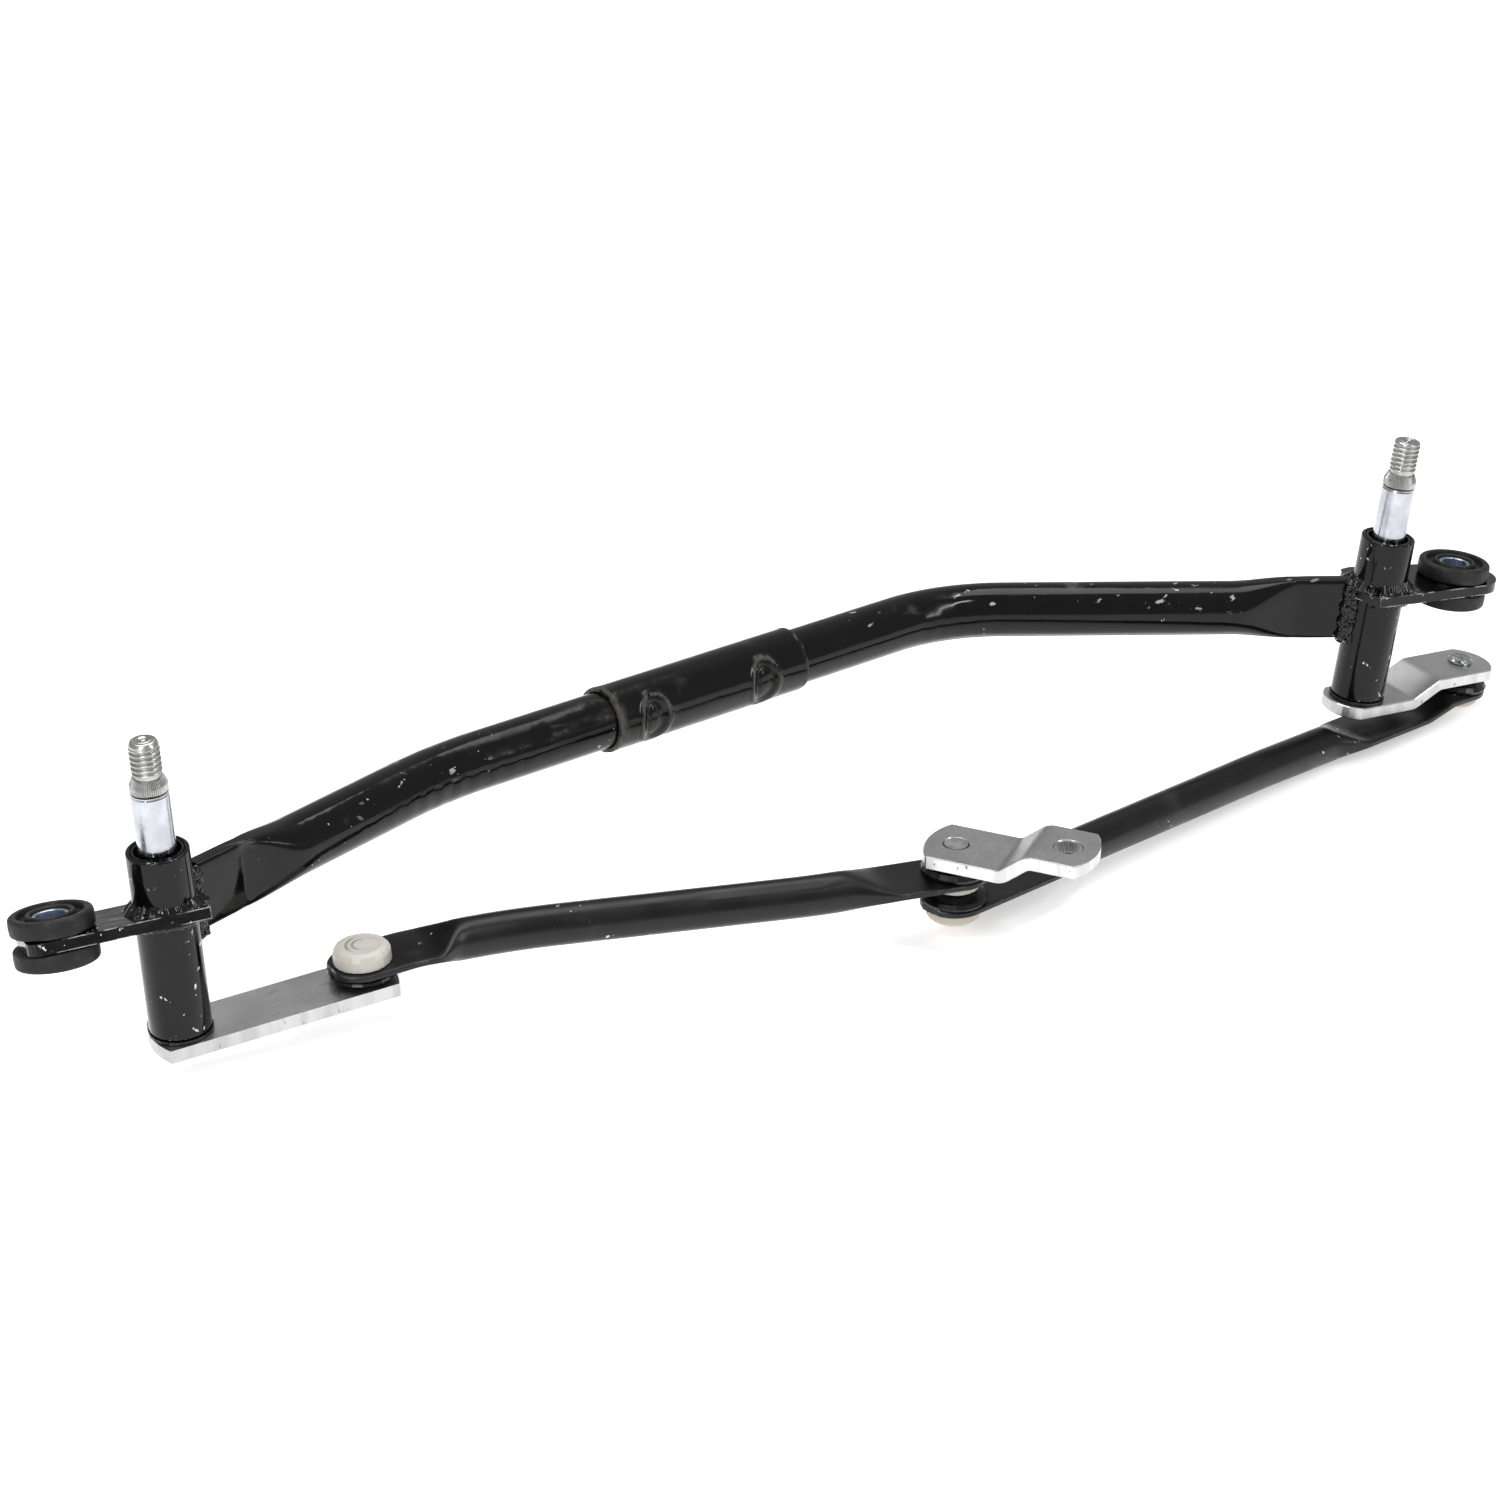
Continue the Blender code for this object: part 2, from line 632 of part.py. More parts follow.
def crank_arm(frame):
    """The crank arm: stepped up to the tapered hole for the motor's shaft."""
    outline = bar_outline(CRANK_LENGTH, CRANK_HALF_WIDTH, CRANK_CORNER, CRANK_END_RADIUS)
    profile = bent_profile(CRANK_TOP, CRANK_THICKNESS, CRANK_RISE_START, CRANK_RISE_END,
                           CRANK_RISE)
    arm = bent_bar("crank_arm", outline, profile, CRANK_HALF_WIDTH, CRANK_TOP, 0.030,
                   frame, "worn_steel")
    rivet_hole = cylinder_cutter("crank_rivet_hole", CRANK_RIVET + GAP, 0, 0.040, frame)
    motor_hole = cylinder_cutter("crank_motor_hole", CRANK_HOLE_BOTTOM, CRANK_TOP,
                                 CRANK_TOP + 0.012, frame, (CRANK_LENGTH, 0), CRANK_HOLE_TOP)
    boolean(arm, rivet_hole)
    boolean(arm, motor_hole)
    bevel(arm, PLATE_EDGE)


def crank_stud(frame):
    """One stud with two balls, its head riveted flush in the crank arm."""
    collar = CRANK_TOP - CRANK_THICKNESS - GAP
    upper_half = math.sqrt(UPPER_BALL_RADIUS ** 2 - CRANK_BALL_NECK ** 2)
    lower_half = math.sqrt(LOWER_BALL_RADIUS ** 2 - LOWER_BALL_NECK ** 2)
    profile = [
        (0, CRANK_TOP),
        (CRANK_RIVET, CRANK_TOP),
        (CRANK_RIVET, collar),
        (CRANK_COLLAR, collar),
        (CRANK_COLLAR, collar - COLLAR_THICKNESS),
        (CRANK_BALL_NECK, collar - COLLAR_THICKNESS),
    ]
    profile += ball_arc(UPPER_BALL_HEIGHT, UPPER_BALL_RADIUS, UPPER_BALL_HEIGHT + upper_half,
                        UPPER_BALL_HEIGHT - upper_half)
    profile += [(LOWER_BALL_NECK, UPPER_BALL_HEIGHT - upper_half - 0.0008)]
    profile += ball_arc(LOWER_BALL_HEIGHT, LOWER_BALL_RADIUS, LOWER_BALL_HEIGHT + lower_half,
                        LOWER_BALL_HEIGHT - LOWER_BALL_RADIUS)
    turned("crank_stud", profile, frame, "zinc", closed=False)


# ---- tabs, grommets and the tube frame ----------------------------------------------------
def tab_outline_left():
    """Return the left tab's outline: squared at both ends, with rounded outer corners."""
    half = TAB_HALF_WIDTH_LEFT
    corner = TAB_CORNER_LEFT
    centre = TAB_OUTER_LEFT - corner
    return (
        [(TAB_INNER_LEFT, -half)]
        + arc(centre, -half + corner, corner, -90, 0, 4)
        + arc(centre, half - corner, corner, 0, 90, 4)
        + [(TAB_INNER_LEFT, half)]
    )


def tab_outline_right():
    """Return the right tab's outline: fully round outside, with an ear behind the housing."""
    half = TAB_HALF_WIDTH_RIGHT
    rounded_end = arc(TAB_ROUND_RIGHT, 0, half, -90, 90, 18)
    return [(TAB_INNER_RIGHT, -half)] + rounded_end + list(TAB_EAR_RIGHT)


def mounting_tab(side, outline, reach, tab_frame, shaft_frame):
    """A tab with its grommet hole and the hole that the housing passes through."""
    tab = flat_bar("mounting_tab_" + side, outline, -TAB_THICKNESS, 0, tab_frame, "black_paint")
    grommet_hole = cylinder_cutter("tab_hole_" + side, GROMMET_NECK + GAP, -0.010, 0.010,
                                   tab_frame, (reach, 0))
    housing_hole = cylinder_cutter("tab_housing_hole_" + side, HOUSING_RADIUS + GAP, 0.020, 0.066,
                                   shaft_frame)
    boolean(tab, grommet_hole)
    boolean(tab, housing_hole)
    bevel(tab, PLATE_EDGE)


def grommet(side, reach, tab_frame):
    """A rubber grommet with a ring groove in its top face, and the steel sleeve in its bore."""
    groove_top = -TAB_THICKNESS / 2 + GROMMET_GROOVE / 2
    groove_bottom = groove_top - GROMMET_GROOVE
    top = groove_top + GROMMET_FLANGE
    bottom = groove_bottom - GROMMET_FLANGE
    edge = GROMMET_EDGE
    profile = [
        (RING_GROOVE_OUTER, top),
        (GROMMET_RADIUS - edge, top),
        (GROMMET_RADIUS, top - edge),
        (GROMMET_RADIUS, groove_top + edge),
        (GROMMET_RADIUS - edge, groove_top),
        (GROMMET_NECK, groove_top),
        (GROMMET_NECK, groove_bottom),
        (GROMMET_RADIUS - edge, groove_bottom),
        (GROMMET_RADIUS, groove_bottom - edge),
        (GROMMET_RADIUS, bottom + edge),
        (GROMMET_RADIUS - edge, bottom),
        (GROMMET_BORE, bottom),
        (GROMMET_BORE, top),
        (RING_GROOVE_INNER, top),
        (RING_GROOVE_INNER + 0.0004, top - RING_GROOVE_DEPTH),
        (RING_GROOVE_OUTER - 0.0004, top - RING_GROOVE_DEPTH),
    ]
    turned("grommet_" + side, profile, tab_frame, "rubber", (reach, 0, 0))
    sleeve = chamfered_ring_profile(BUSH_SLEEVE_RADIUS, BUSH_SLEEVE_BORE, bottom,
                                    top - BUSH_SLEEVE_DROP, 0.0003)
    turned("grommet_sleeve_" + side, sleeve, tab_frame, "zinc", (reach, 0, 0))


def frame_tube(side, path, tab_frame, shaft_frame, axis):
    """A frame tube: flat blade at the housing, round and hollow from there to the sleeve."""
    total = path_length(path)
    distances = [0.0085, 0.016, 0.0225, BLADE_END]
    distances += [BLADE_END + BLADE_BLEND * i / 7 for i in range(1, 8)]
    steps = 20
    first = distances[-1]
    distances += [first + (total - first) * i / steps for i in range(1, steps + 1)]
    outer = []
    inner = []
    for distance in distances:
        centre, along = point_along(path, distance)
        share = ease((distance - BLADE_END) / BLADE_BLEND)
        half_height = BLADE_HEIGHT / 2 * (1 - share) + TUBE_RADIUS * share
        half_width = BLADE_THICKNESS / 2 * (1 - share) + TUBE_RADIUS * share
        ring_up = axis.lerp(UP, ease(distance / (BLADE_END + BLADE_BLEND)))
        outer.append(section_ring(centre, along, ring_up, half_width, half_height, 1 - share,
                                  TUBE_SIDES))
        if share == 1:
            radius = TUBE_RADIUS - TUBE_WALL
            inner.append(section_ring(centre, along, UP, radius, radius, 0, TUBE_SIDES))
    tube = loft("frame_tube_" + side, outer + inner[::-1], PIVOT_FRAME, "black_paint")
    coping = cylinder_cutter("coping_" + side, HOUSING_RADIUS + GAP, 0.015, 0.075, shaft_frame)
    boolean(tube, coping)
    notch_outline = [(-0.0150, -0.016), (0, -0.016), (0, 0.016), (-0.0150, 0.016)]
    middle = Matrix.Translation((0, 0, -TAB_THICKNESS / 2))
    notch = curve_prism("tab_notch_" + side, notch_outline, TAB_THICKNESS / 2 + GAP, middle,
                        tab_frame)
    place(notch, tab_frame, None, cutter=True)
    boolean(tube, notch)


def centre_sleeve():
    """The sleeve that joins the two tubes, on the straight between the bends."""
    along = (FRAME_BEND_RIGHT - FRAME_BEND_LEFT).normalized()
    share = (SLEEVE_CENTRE_X - FRAME_BEND_LEFT.x) / (FRAME_BEND_RIGHT.x - FRAME_BEND_LEFT.x)
    centre = FRAME_BEND_LEFT.lerp(FRAME_BEND_RIGHT, share)
    frame = add_frame("sleeve_frame", axes_matrix(centre, along, UP), PIVOT_FRAME)
    half = SLEEVE_LENGTH / 2
    profile = chamfered_ring_profile(SLEEVE_RADIUS, TUBE_RADIUS + GAP, -half, half, 0.0004)
    turned("centre_sleeve", profile, frame, "black_paint")


# ---- tie rods with their sockets and boots ------------------------------------------------
def tie_rod(name, path, frame, first_up, ends, eyes):
    """A rod: a tube, solid here, with a flat eye at each end that a socket passes through."""
    first_flat, first_round, last_flat, last_round = ends
    total = path_length(path)
    eye = [EYE_HALF_WIDTH * (math.sin(math.radians(a)) - 1) for a in (4, 18, 35, 55, 78)]
    start = [EYE_HALF_WIDTH + e for e in eye]
    flat_steps = max(2, round((first_flat - 0.010) / 0.0055))
    middle = [0.010 + (first_flat - 0.010) * i / flat_steps for i in range(flat_steps)]
    middle += [first_flat + (first_round - first_flat) * i / 4 for i in range(5)]
    ending = [last_round + (last_flat - last_round) * i / 4 for i in range(5)] + [last_flat * 0.6]
    run_start = middle[-1]
    run_end = total - last_round
    run = [run_start + (run_end - run_start) * i / 14 for i in range(1, 14)]
    distances = [s - EYE_HALF_WIDTH for s in start] + middle + run
    distances += [total - e for e in ending] + [total + EYE_HALF_WIDTH - s for s in reversed(start)]
    rings = []
    for distance in distances:
        centre, along = point_along(path, max(0, min(total, distance)))
        centre = centre + along * (distance - max(0, min(total, distance)))
        near = min(distance, total - distance)
        flat, full = (first_flat, first_round) if distance < total / 2 else (last_flat, last_round)
        share = ease((near - flat) / (full - flat))
        half_width = EYE_PLATE_HALF_WIDTH * (1 - share) + ROD_RADIUS * share
        half_height = EYE_THICKNESS / 2 * (1 - share) + ROD_RADIUS * share
        if near < 0:
            narrowing = math.sqrt(max(0, 1 - (near / EYE_HALF_WIDTH) ** 2))
            half_width = EYE_PLATE_HALF_WIDTH * narrowing
        ring_up = first_up.lerp(UP, ease((distance - 0.014) / 0.020))
        rings.append(section_ring(centre, along, ring_up, half_width, half_height, 1 - share,
                                  TUBE_SIDES))
    rod = loft(name, rings, frame, "satin_black")
    for index, (eye_frame, radius) in enumerate(eyes):
        boolean(rod, cylinder_cutter(name + "_eye_" + str(index), radius, -0.006, 0.006, eye_frame))


def capped_socket(name, frame, material, ball_clear, neck, cap_top, flip):
    """A socket with a round cap on one side; local Z is the ball's stud axis, the ball at 0."""
    eye = EYE_THICKNESS / 2 + GAP
    mouth = -(eye + 0.0012)
    cavity_mouth = math.sqrt(ball_clear ** 2 - mouth ** 2)
    outer = [
        (0, cap_top),
        (0.0070, cap_top - 0.0002),
        (CAP_RADIUS - 0.0011, cap_top - 0.0008),
        (CAP_RADIUS - 0.0002, cap_top - 0.0020),
        (CAP_RADIUS, eye),
        (neck, eye),
        (neck, -eye),
        (neck + 0.0009, -eye),
        (neck + 0.0007, mouth),
        (cavity_mouth, mouth),
    ]
    cavity = ball_arc(0, ball_clear, ball_clear, mouth)[::-1][1:]
    profile = outer + cavity
    if flip:
        profile = [(radius, -height) for radius, height in profile][::-1]
    turned(name, profile, frame, material, closed=False)


def open_socket(name, frame, material):
    """The upper socket on the crank: open above and below, because the stud runs through it."""
    eye = EYE_THICKNESS / 2 + GAP
    clear = UPPER_BALL_RADIUS + BALL_CLEARANCE
    mouth_top = eye + 0.0010
    top_radius = math.sqrt(clear ** 2 - mouth_top ** 2)
    throat = 0.0037
    throat_height = -math.sqrt(clear ** 2 - throat ** 2)
    skirt = -0.0044
    profile = [
        (SOCKET_NECK + 0.0012, mouth_top),
        (SOCKET_NECK + 0.0012, eye),
        (SOCKET_NECK, eye),
        (SOCKET_NECK, -eye),
        (0.0090, -eye),
        (0.0090, skirt + 0.0004),
        (0.0086, skirt),
        (throat, skirt),
        (throat, throat_height),
    ]
    profile += ball_arc(0, clear, mouth_top, throat_height)[::-1][1:]
    turned(name, profile, frame, material)


def boot(name, frame, near, far, neck_hole, seat_hole):
    """A rubber dust boot between two heights: a wide lip at near, closing on the neck at far."""
    toward = 1 if near > far else -1
    height = abs(near - far)
    profile = [
        (0.0118, height),
        (0.0123, height * 0.72),
        (0.0112, height * 0.36),
        (0.0084, 0),
        (neck_hole, 0),
        (neck_hole, BOOT_WALL),
        (0.0080, BOOT_WALL + height * 0.15),
        (seat_hole, height * 0.55),
        (seat_hole, height),
    ]
    if toward < 0:
        profile = [(radius, -z) for radius, z in profile][::-1]
    turned(name, profile, frame, "rubber", (0, 0, far))


# ---- assembly -----------------------------------------------------------------------------
def direction(heading, axis):
    """Return the unit vector with a heading about Z that lies square to an axis."""
    flat = Vector((math.cos(heading), math.sin(heading), 0))
    return (flat - flat.dot(axis) * axis).normalized()


def frame_paths():
    """Return the paths of the left and right frame tubes, each from its pivot to the sleeve."""
    share = (SLEEVE_CENTRE_X - FRAME_BEND_LEFT.x) / (FRAME_BEND_RIGHT.x - FRAME_BEND_LEFT.x)
    centre = FRAME_BEND_LEFT.lerp(FRAME_BEND_RIGHT, share)
    half_gap = (FRAME_BEND_RIGHT - FRAME_BEND_LEFT).normalized() * TUBE_END_GAP / 2
    left = rounded_path([FRAME_START, FRAME_BEND_LEFT, centre - half_gap],
                        [FRAME_BEND_RADIUS_LEFT], 0.008)
    right = rounded_path([FRAME_END, FRAME_BEND_RIGHT, centre + half_gap],
                         [FRAME_BEND_RADIUS_RIGHT], 0.005)
    return left, right


def fixed_frame(left_pivot, right_pivot, right_origin):
    """Build the housings with their bearings and shafts, the tabs, the grommets and the tubes."""
    for side, pivot in (("left", left_pivot), ("right", right_pivot)):
        pivot_housing(side, pivot)
        bearings(side, pivot)
        pivot_shaft(side, pivot, TIP_DOME_LEFT if side == "left" else 0)
        retaining_ring(side, pivot)
    left_tab = add_frame("tab_frame_left",
                         axes_matrix(SHAFT_AXIS_LEFT * TAB_HEIGHT_LEFT, TAB_NORMAL_LEFT,
                                     TAB_DIRECTION_LEFT), PIVOT_FRAME)
    right_tab = add_frame("tab_frame_right",
                          axes_matrix(right_origin + SHAFT_AXIS_RIGHT * TAB_HEIGHT_RIGHT,
                                      TAB_NORMAL_RIGHT, TAB_DIRECTION_RIGHT), PIVOT_FRAME)
    mounting_tab("left", tab_outline_left(), TAB_REACH_LEFT, left_tab, left_pivot)
    mounting_tab("right", tab_outline_right(), TAB_REACH_RIGHT, right_tab, right_pivot)
    grommet("left", TAB_REACH_LEFT, left_tab)
    grommet("right", TAB_REACH_RIGHT, right_tab)
    left_path, right_path = frame_paths()
    frame_tube("left", left_path, left_tab, left_pivot, SHAFT_AXIS_LEFT)
    frame_tube("right", right_path, right_tab, right_pivot, SHAFT_AXIS_RIGHT)
    centre_sleeve()


def left_rod_path(left_ball, upper_ball):
    """Return the left rod's path, from the left lever's ball to the crank's upper ball."""
    toward = ROD_BEND_OUTER - left_ball
    leave = direction(math.atan2(toward.y, toward.x), SHAFT_AXIS_LEFT)
    corners = [left_ball, left_ball + leave * LEFT_ROD_EXIT, ROD_BEND_OUTER, ROD_BEND_INNER,
               upper_ball]
    return rounded_path(corners, [0.06, ROD_BEND_RADIUS_OUTER, ROD_BEND_RADIUS_INNER], 0.010)


def right_rod_path(right_ball, lower_ball):
    """Return the right rod's path, from the right lever's ball to the crank's lower ball."""
    back = (lower_ball - right_ball).normalized()
    flat = (back - back.dot(SHAFT_AXIS_RIGHT) * SHAFT_AXIS_RIGHT).normalized()
    corners = [right_ball, right_ball + flat * RIGHT_ROD_EXIT,
               right_ball + back * 0.030 + UP * RIGHT_ROD_DIP, right_ball + back * 0.120,
               lower_ball]
    return rounded_path(corners, [0.010, 0.014, 0.30], 0.004)


def sockets_and_boots(left_eye, right_eye, upper_eye, lower_eye):
    """Build the ball sockets and their dust boots in the four rod eyes."""
    ball_clear = BALL_RADIUS + BALL_CLEARANCE
    capped_socket("socket_left_lever", left_eye, "white_nylon", ball_clear, SOCKET_NECK,
                  CAP_TALL, False)
    capped_socket("socket_right_lever", right_eye, "beige_nylon", ball_clear, SOCKET_NECK,
                  CAP_LOW, True)
    capped_socket("socket_crank_lower", lower_eye, "beige_nylon", OPEN_SOCKET_RADIUS, OPEN_NECK,
                  CAP_OPEN, True)
    open_socket("socket_crank_upper", upper_eye, "white_nylon")
    face = EYE_THICKNESS / 2 + GAP
    lever_left = LEVER_TOP - BALL_HEIGHT_LEFT + 2 * GAP
    lever_right = LEVER_TOP + LEVER_RISE - LEVER_THICKNESS - BALL_HEIGHT_RIGHT - 2 * GAP
    crank_under = CRANK_TOP - CRANK_THICKNESS - UPPER_BALL_HEIGHT - 2 * GAP
    boot("boot_left_lever", left_eye, -face, lever_left, 0.0056, 0.0078)
    boot("boot_right_lever", right_eye, face, lever_right, 0.0066, 0.0078)
    boot("boot_crank_upper", upper_eye, face, crank_under, 0.0062, 0.0082)
    boot("boot_crank_lower", lower_eye, face, 0.0052, 0.0053, 0.0086)


def build():
    """Build every part."""
    right_origin = Vector((PIVOT_SPACING, 0, 0))
    heading_left = direction(LEVER_HEADING_LEFT, SHAFT_AXIS_LEFT)
    heading_right = direction(LEVER_HEADING_RIGHT, SHAFT_AXIS_RIGHT)
    crank_forward = Vector((math.cos(CRANK_HEADING), math.sin(CRANK_HEADING), 0))
    left_ball = heading_left * LEVER_LENGTH_LEFT + SHAFT_AXIS_LEFT * BALL_HEIGHT_LEFT
    right_ball = (right_origin + heading_right * LEVER_LENGTH_RIGHT
                  + SHAFT_AXIS_RIGHT * BALL_HEIGHT_RIGHT)
    upper_ball = CRANK_PIN + UP * UPPER_BALL_HEIGHT
    lower_ball = CRANK_PIN + UP * LOWER_BALL_HEIGHT

    left_pivot = add_frame("left_wiper_pivot",
                           axes_matrix(Vector(), SHAFT_AXIS_LEFT, heading_left), PIVOT_FRAME)
    right_pivot = add_frame("right_wiper_pivot",
                            axes_matrix(right_origin, SHAFT_AXIS_RIGHT, heading_right), PIVOT_FRAME)
    fixed_frame(left_pivot, right_pivot, right_origin)
    pivot_lever_left(left_pivot)
    pivot_lever_right(right_pivot)
    ball_stud_left(left_pivot)
    ball_stud_right(right_pivot)

    left_rod = add_frame("left_rod_pivot",
                         axes_matrix(left_ball, ROD_AXIS_LEFT, upper_ball - left_ball), PIVOT_FRAME)
    right_rod = add_frame("right_rod_pivot",
                          axes_matrix(right_ball, ROD_AXIS_RIGHT, lower_ball - right_ball),
                          PIVOT_FRAME)
    crank = add_frame("crank_spin", axes_matrix(CRANK_PIN, UP, crank_forward), PIVOT_FRAME)
    crank_arm(crank)
    crank_stud(crank)

    left_eye = add_frame("left_eye", axes_matrix(left_ball, SHAFT_AXIS_LEFT, heading_left), left_rod)
    right_eye = add_frame("right_eye", axes_matrix(right_ball, SHAFT_AXIS_RIGHT, heading_right),
                          right_rod)
    upper_eye = add_frame("upper_eye", axes_matrix(upper_ball, UP, crank_forward), left_rod)
    lower_eye = add_frame("lower_eye", axes_matrix(lower_ball, UP, crank_forward), right_rod)
    tie_rod("tie_rod_left", left_rod_path(left_ball, upper_ball), left_rod, SHAFT_AXIS_LEFT,
            ROD_ENDS_LEFT, ((left_eye, EYE_HOLE), (upper_eye, EYE_HOLE)))
    tie_rod("tie_rod_right", right_rod_path(right_ball, lower_ball), right_rod, SHAFT_AXIS_RIGHT,
            ROD_ENDS_RIGHT, ((right_eye, EYE_HOLE), (lower_eye, OPEN_NECK + GAP)))
    sockets_and_boots(left_eye, right_eye, upper_eye, lower_eye)


def seat_centre():
    """Return the bottom centre of the left grommet in the pivot frame."""
    matrix = axes_matrix(SHAFT_AXIS_LEFT * TAB_HEIGHT_LEFT, TAB_NORMAL_LEFT, TAB_DIRECTION_LEFT)
    bottom = -TAB_THICKNESS / 2 - GROMMET_GROOVE / 2 - GROMMET_FLANGE
    return matrix @ Vector((TAB_REACH_LEFT, 0, bottom))


clear_scene()
SHAPES = new_collection("windshield_wiper_linkage")
CUTTERS = new_collection("cutters")
MATERIAL = {name: make_material(name) for name in MATERIALS}
PIVOT_FRAME = bpy.data.objects.new("pivot_frame", None)
SHAPES.objects.link(PIVOT_FRAME)
PIVOT_FRAME.location = -seat_centre()
bpy.context.view_layer.update()
build()
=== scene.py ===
"""Looks of the windshield wiper linkage: finer shapes, welds, threads and worn painted metal.

Units are metres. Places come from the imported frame's joints and boxes, and the tube and rod
routes repeat the part's driving dimensions in the pivot frame, whose origin is the bottom of the
left housing.
"""
import json
from math import atan2, ceil, copysign, cos, exp, hypot, pi, radians, sin, sqrt, tan, tau

import bmesh
import bpy
from mathutils import Matrix, Vector, noise


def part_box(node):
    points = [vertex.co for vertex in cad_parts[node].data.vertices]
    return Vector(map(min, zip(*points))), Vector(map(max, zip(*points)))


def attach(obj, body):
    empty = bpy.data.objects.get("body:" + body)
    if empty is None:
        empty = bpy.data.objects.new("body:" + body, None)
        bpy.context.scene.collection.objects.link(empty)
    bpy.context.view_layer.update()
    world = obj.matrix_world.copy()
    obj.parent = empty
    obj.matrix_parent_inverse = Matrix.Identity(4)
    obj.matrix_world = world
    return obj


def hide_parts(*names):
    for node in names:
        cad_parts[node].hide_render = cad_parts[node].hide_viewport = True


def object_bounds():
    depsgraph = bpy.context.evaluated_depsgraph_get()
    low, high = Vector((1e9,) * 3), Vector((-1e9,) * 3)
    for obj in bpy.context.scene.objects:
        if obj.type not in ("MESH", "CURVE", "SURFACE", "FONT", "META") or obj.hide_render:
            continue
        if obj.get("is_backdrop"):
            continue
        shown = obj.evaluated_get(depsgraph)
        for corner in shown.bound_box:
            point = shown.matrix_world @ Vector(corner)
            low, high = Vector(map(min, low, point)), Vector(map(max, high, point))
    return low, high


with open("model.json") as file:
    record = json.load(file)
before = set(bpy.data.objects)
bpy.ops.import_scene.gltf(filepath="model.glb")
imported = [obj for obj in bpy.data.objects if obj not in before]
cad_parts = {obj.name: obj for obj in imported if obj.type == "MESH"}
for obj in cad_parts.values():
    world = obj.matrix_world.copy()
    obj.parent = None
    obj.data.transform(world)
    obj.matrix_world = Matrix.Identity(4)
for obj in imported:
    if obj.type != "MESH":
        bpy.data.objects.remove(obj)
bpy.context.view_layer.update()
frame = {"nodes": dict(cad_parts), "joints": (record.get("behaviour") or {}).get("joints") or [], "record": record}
JOINTS = {joint["name"]: joint for joint in frame["joints"]}
NODES = frame["nodes"]
SCENE = bpy.context.scene
UP = Vector((0, 0, 1))
AHEAD = Vector((1, 0, 0))


def joint_place(name):
    """Return a joint's place."""
    return Vector(JOINTS[name]["pos_m"])


def joint_axis(name):
    """Return a joint's axis."""
    return Vector(JOINTS[name]["axis"]).normalized()


def pivot_line(side):
    """Return the place and the axis of a wiper's pivot."""
    return joint_place(side + "_wiper_pivot"), joint_axis(side + "_wiper_pivot")


def box_middle(node):
    """Return the middle of a node's box."""
    low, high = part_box(node)
    return (Vector(low) + Vector(high)) / 2


def seat_axis(side):
    """Return the direction in which a tab's bolt head seat faces."""
    seat = next(m for m in frame["record"]["mounts"] if m["name"] == "bolt_head_seat_" + side)
    return Vector(seat["axis"])


def axes_matrix(origin, up, forward):
    """Return a frame with local Z along up and local X as near forward as it can be."""
    z_axis = up.normalized()
    x_axis = (forward - forward.dot(z_axis) * z_axis).normalized()
    y_axis = z_axis.cross(x_axis)
    matrix = Matrix((x_axis, y_axis, z_axis)).transposed().to_4x4()
    matrix.translation = origin
    return matrix


# ---- driving dimensions, as in the part ----
PIVOT = joint_place("left_wiper_pivot")
GAP = 0.0003
HOUSING_BOTTOM = 0.0015
HOUSING_LENGTH = 0.0676
HOUSING_RADIUS = 0.0104
HOUSING_BORE = 0.0082
MOUTH_BORE = 0.0090
MOUTH_DEPTH = 0.0015
SHAFT_RADIUS = 0.00635
SHAFT_STAND = 0.0395
KNURL_START = 0.0209
KNURL_LENGTH = 0.0055
WASHER_BOTTOM = 0.0002
LEVER_TOP = -0.0001
LEVER_THICKNESS = 0.0048
LEVER_RISE = 0.0065
TUBE_RADIUS = 0.0105
TUBE_WALL = 0.0018
BLADE_HEIGHT = 0.0245
BLADE_THICKNESS = 0.0065
BLADE_END = 0.0290
BLADE_BLEND = 0.0280
FRAME_START = Vector((0.0, 0.0029, 0.0445))
FRAME_BEND_LEFT = Vector((0.1213, 0.0468, 0.0429))
FRAME_BEND_RIGHT = Vector((0.3571, 0.0783, 0.0398))
FRAME_END = Vector((0.5084, -0.0006, 0.0378))
FRAME_BEND_RADIUS_LEFT = 0.180
FRAME_BEND_RADIUS_RIGHT = 0.077
SLEEVE_CENTRE_X = 0.2369
SLEEVE_LENGTH = 0.0888
SLEEVE_RADIUS = 0.0121
TUBE_END_GAP = 0.002
TAB_THICKNESS = 0.0040
TAB_HEIGHTS = {"left": 0.0465, "right": 0.0474}
TAB_HALF_WIDTHS = {"left": 0.0126, "right": 0.0134}
GROMMET_RADIUS = 0.0139
GROMMET_NECK = 0.0100
GROMMET_FLANGE = 0.0060
GROMMET_GROOVE = 0.0050
ROD_RADIUS = 0.00725
EYE_THICKNESS = 0.0026
EYE_HALF_WIDTH = 0.0122
EYE_HOLE = 0.0066
OPEN_EYE_HOLE = 0.0073
ROD_BEND_OUTER = Vector((0.1165, -0.0084, 0.0082))
ROD_BEND_INNER = Vector((0.2220, -0.0395, 0.0070))
ROD_BEND_RADIUS_OUTER = 0.170
ROD_BEND_RADIUS_INNER = 0.220
RIGHT_ROD_DIP = -0.0022
LEFT_ROD_STRAIGHT = 0.016
LEFT_ROD_START_RADIUS = 0.06
RIGHT_ROD_STRAIGHT = 0.0145
RIGHT_ROD_BENDS = (0.030, 0.120)  # from the lever's ball
RIGHT_ROD_RADII = (0.010, 0.014, 0.30)
ROD_ENDS_LEFT = (0.023, 0.035, 0.022, 0.045)  # flat until, round from; then the crank's end
ROD_ENDS_RIGHT = (0.066, 0.084, 0.042, 0.060)
UPPER_BALL_HEIGHT = 0.0066
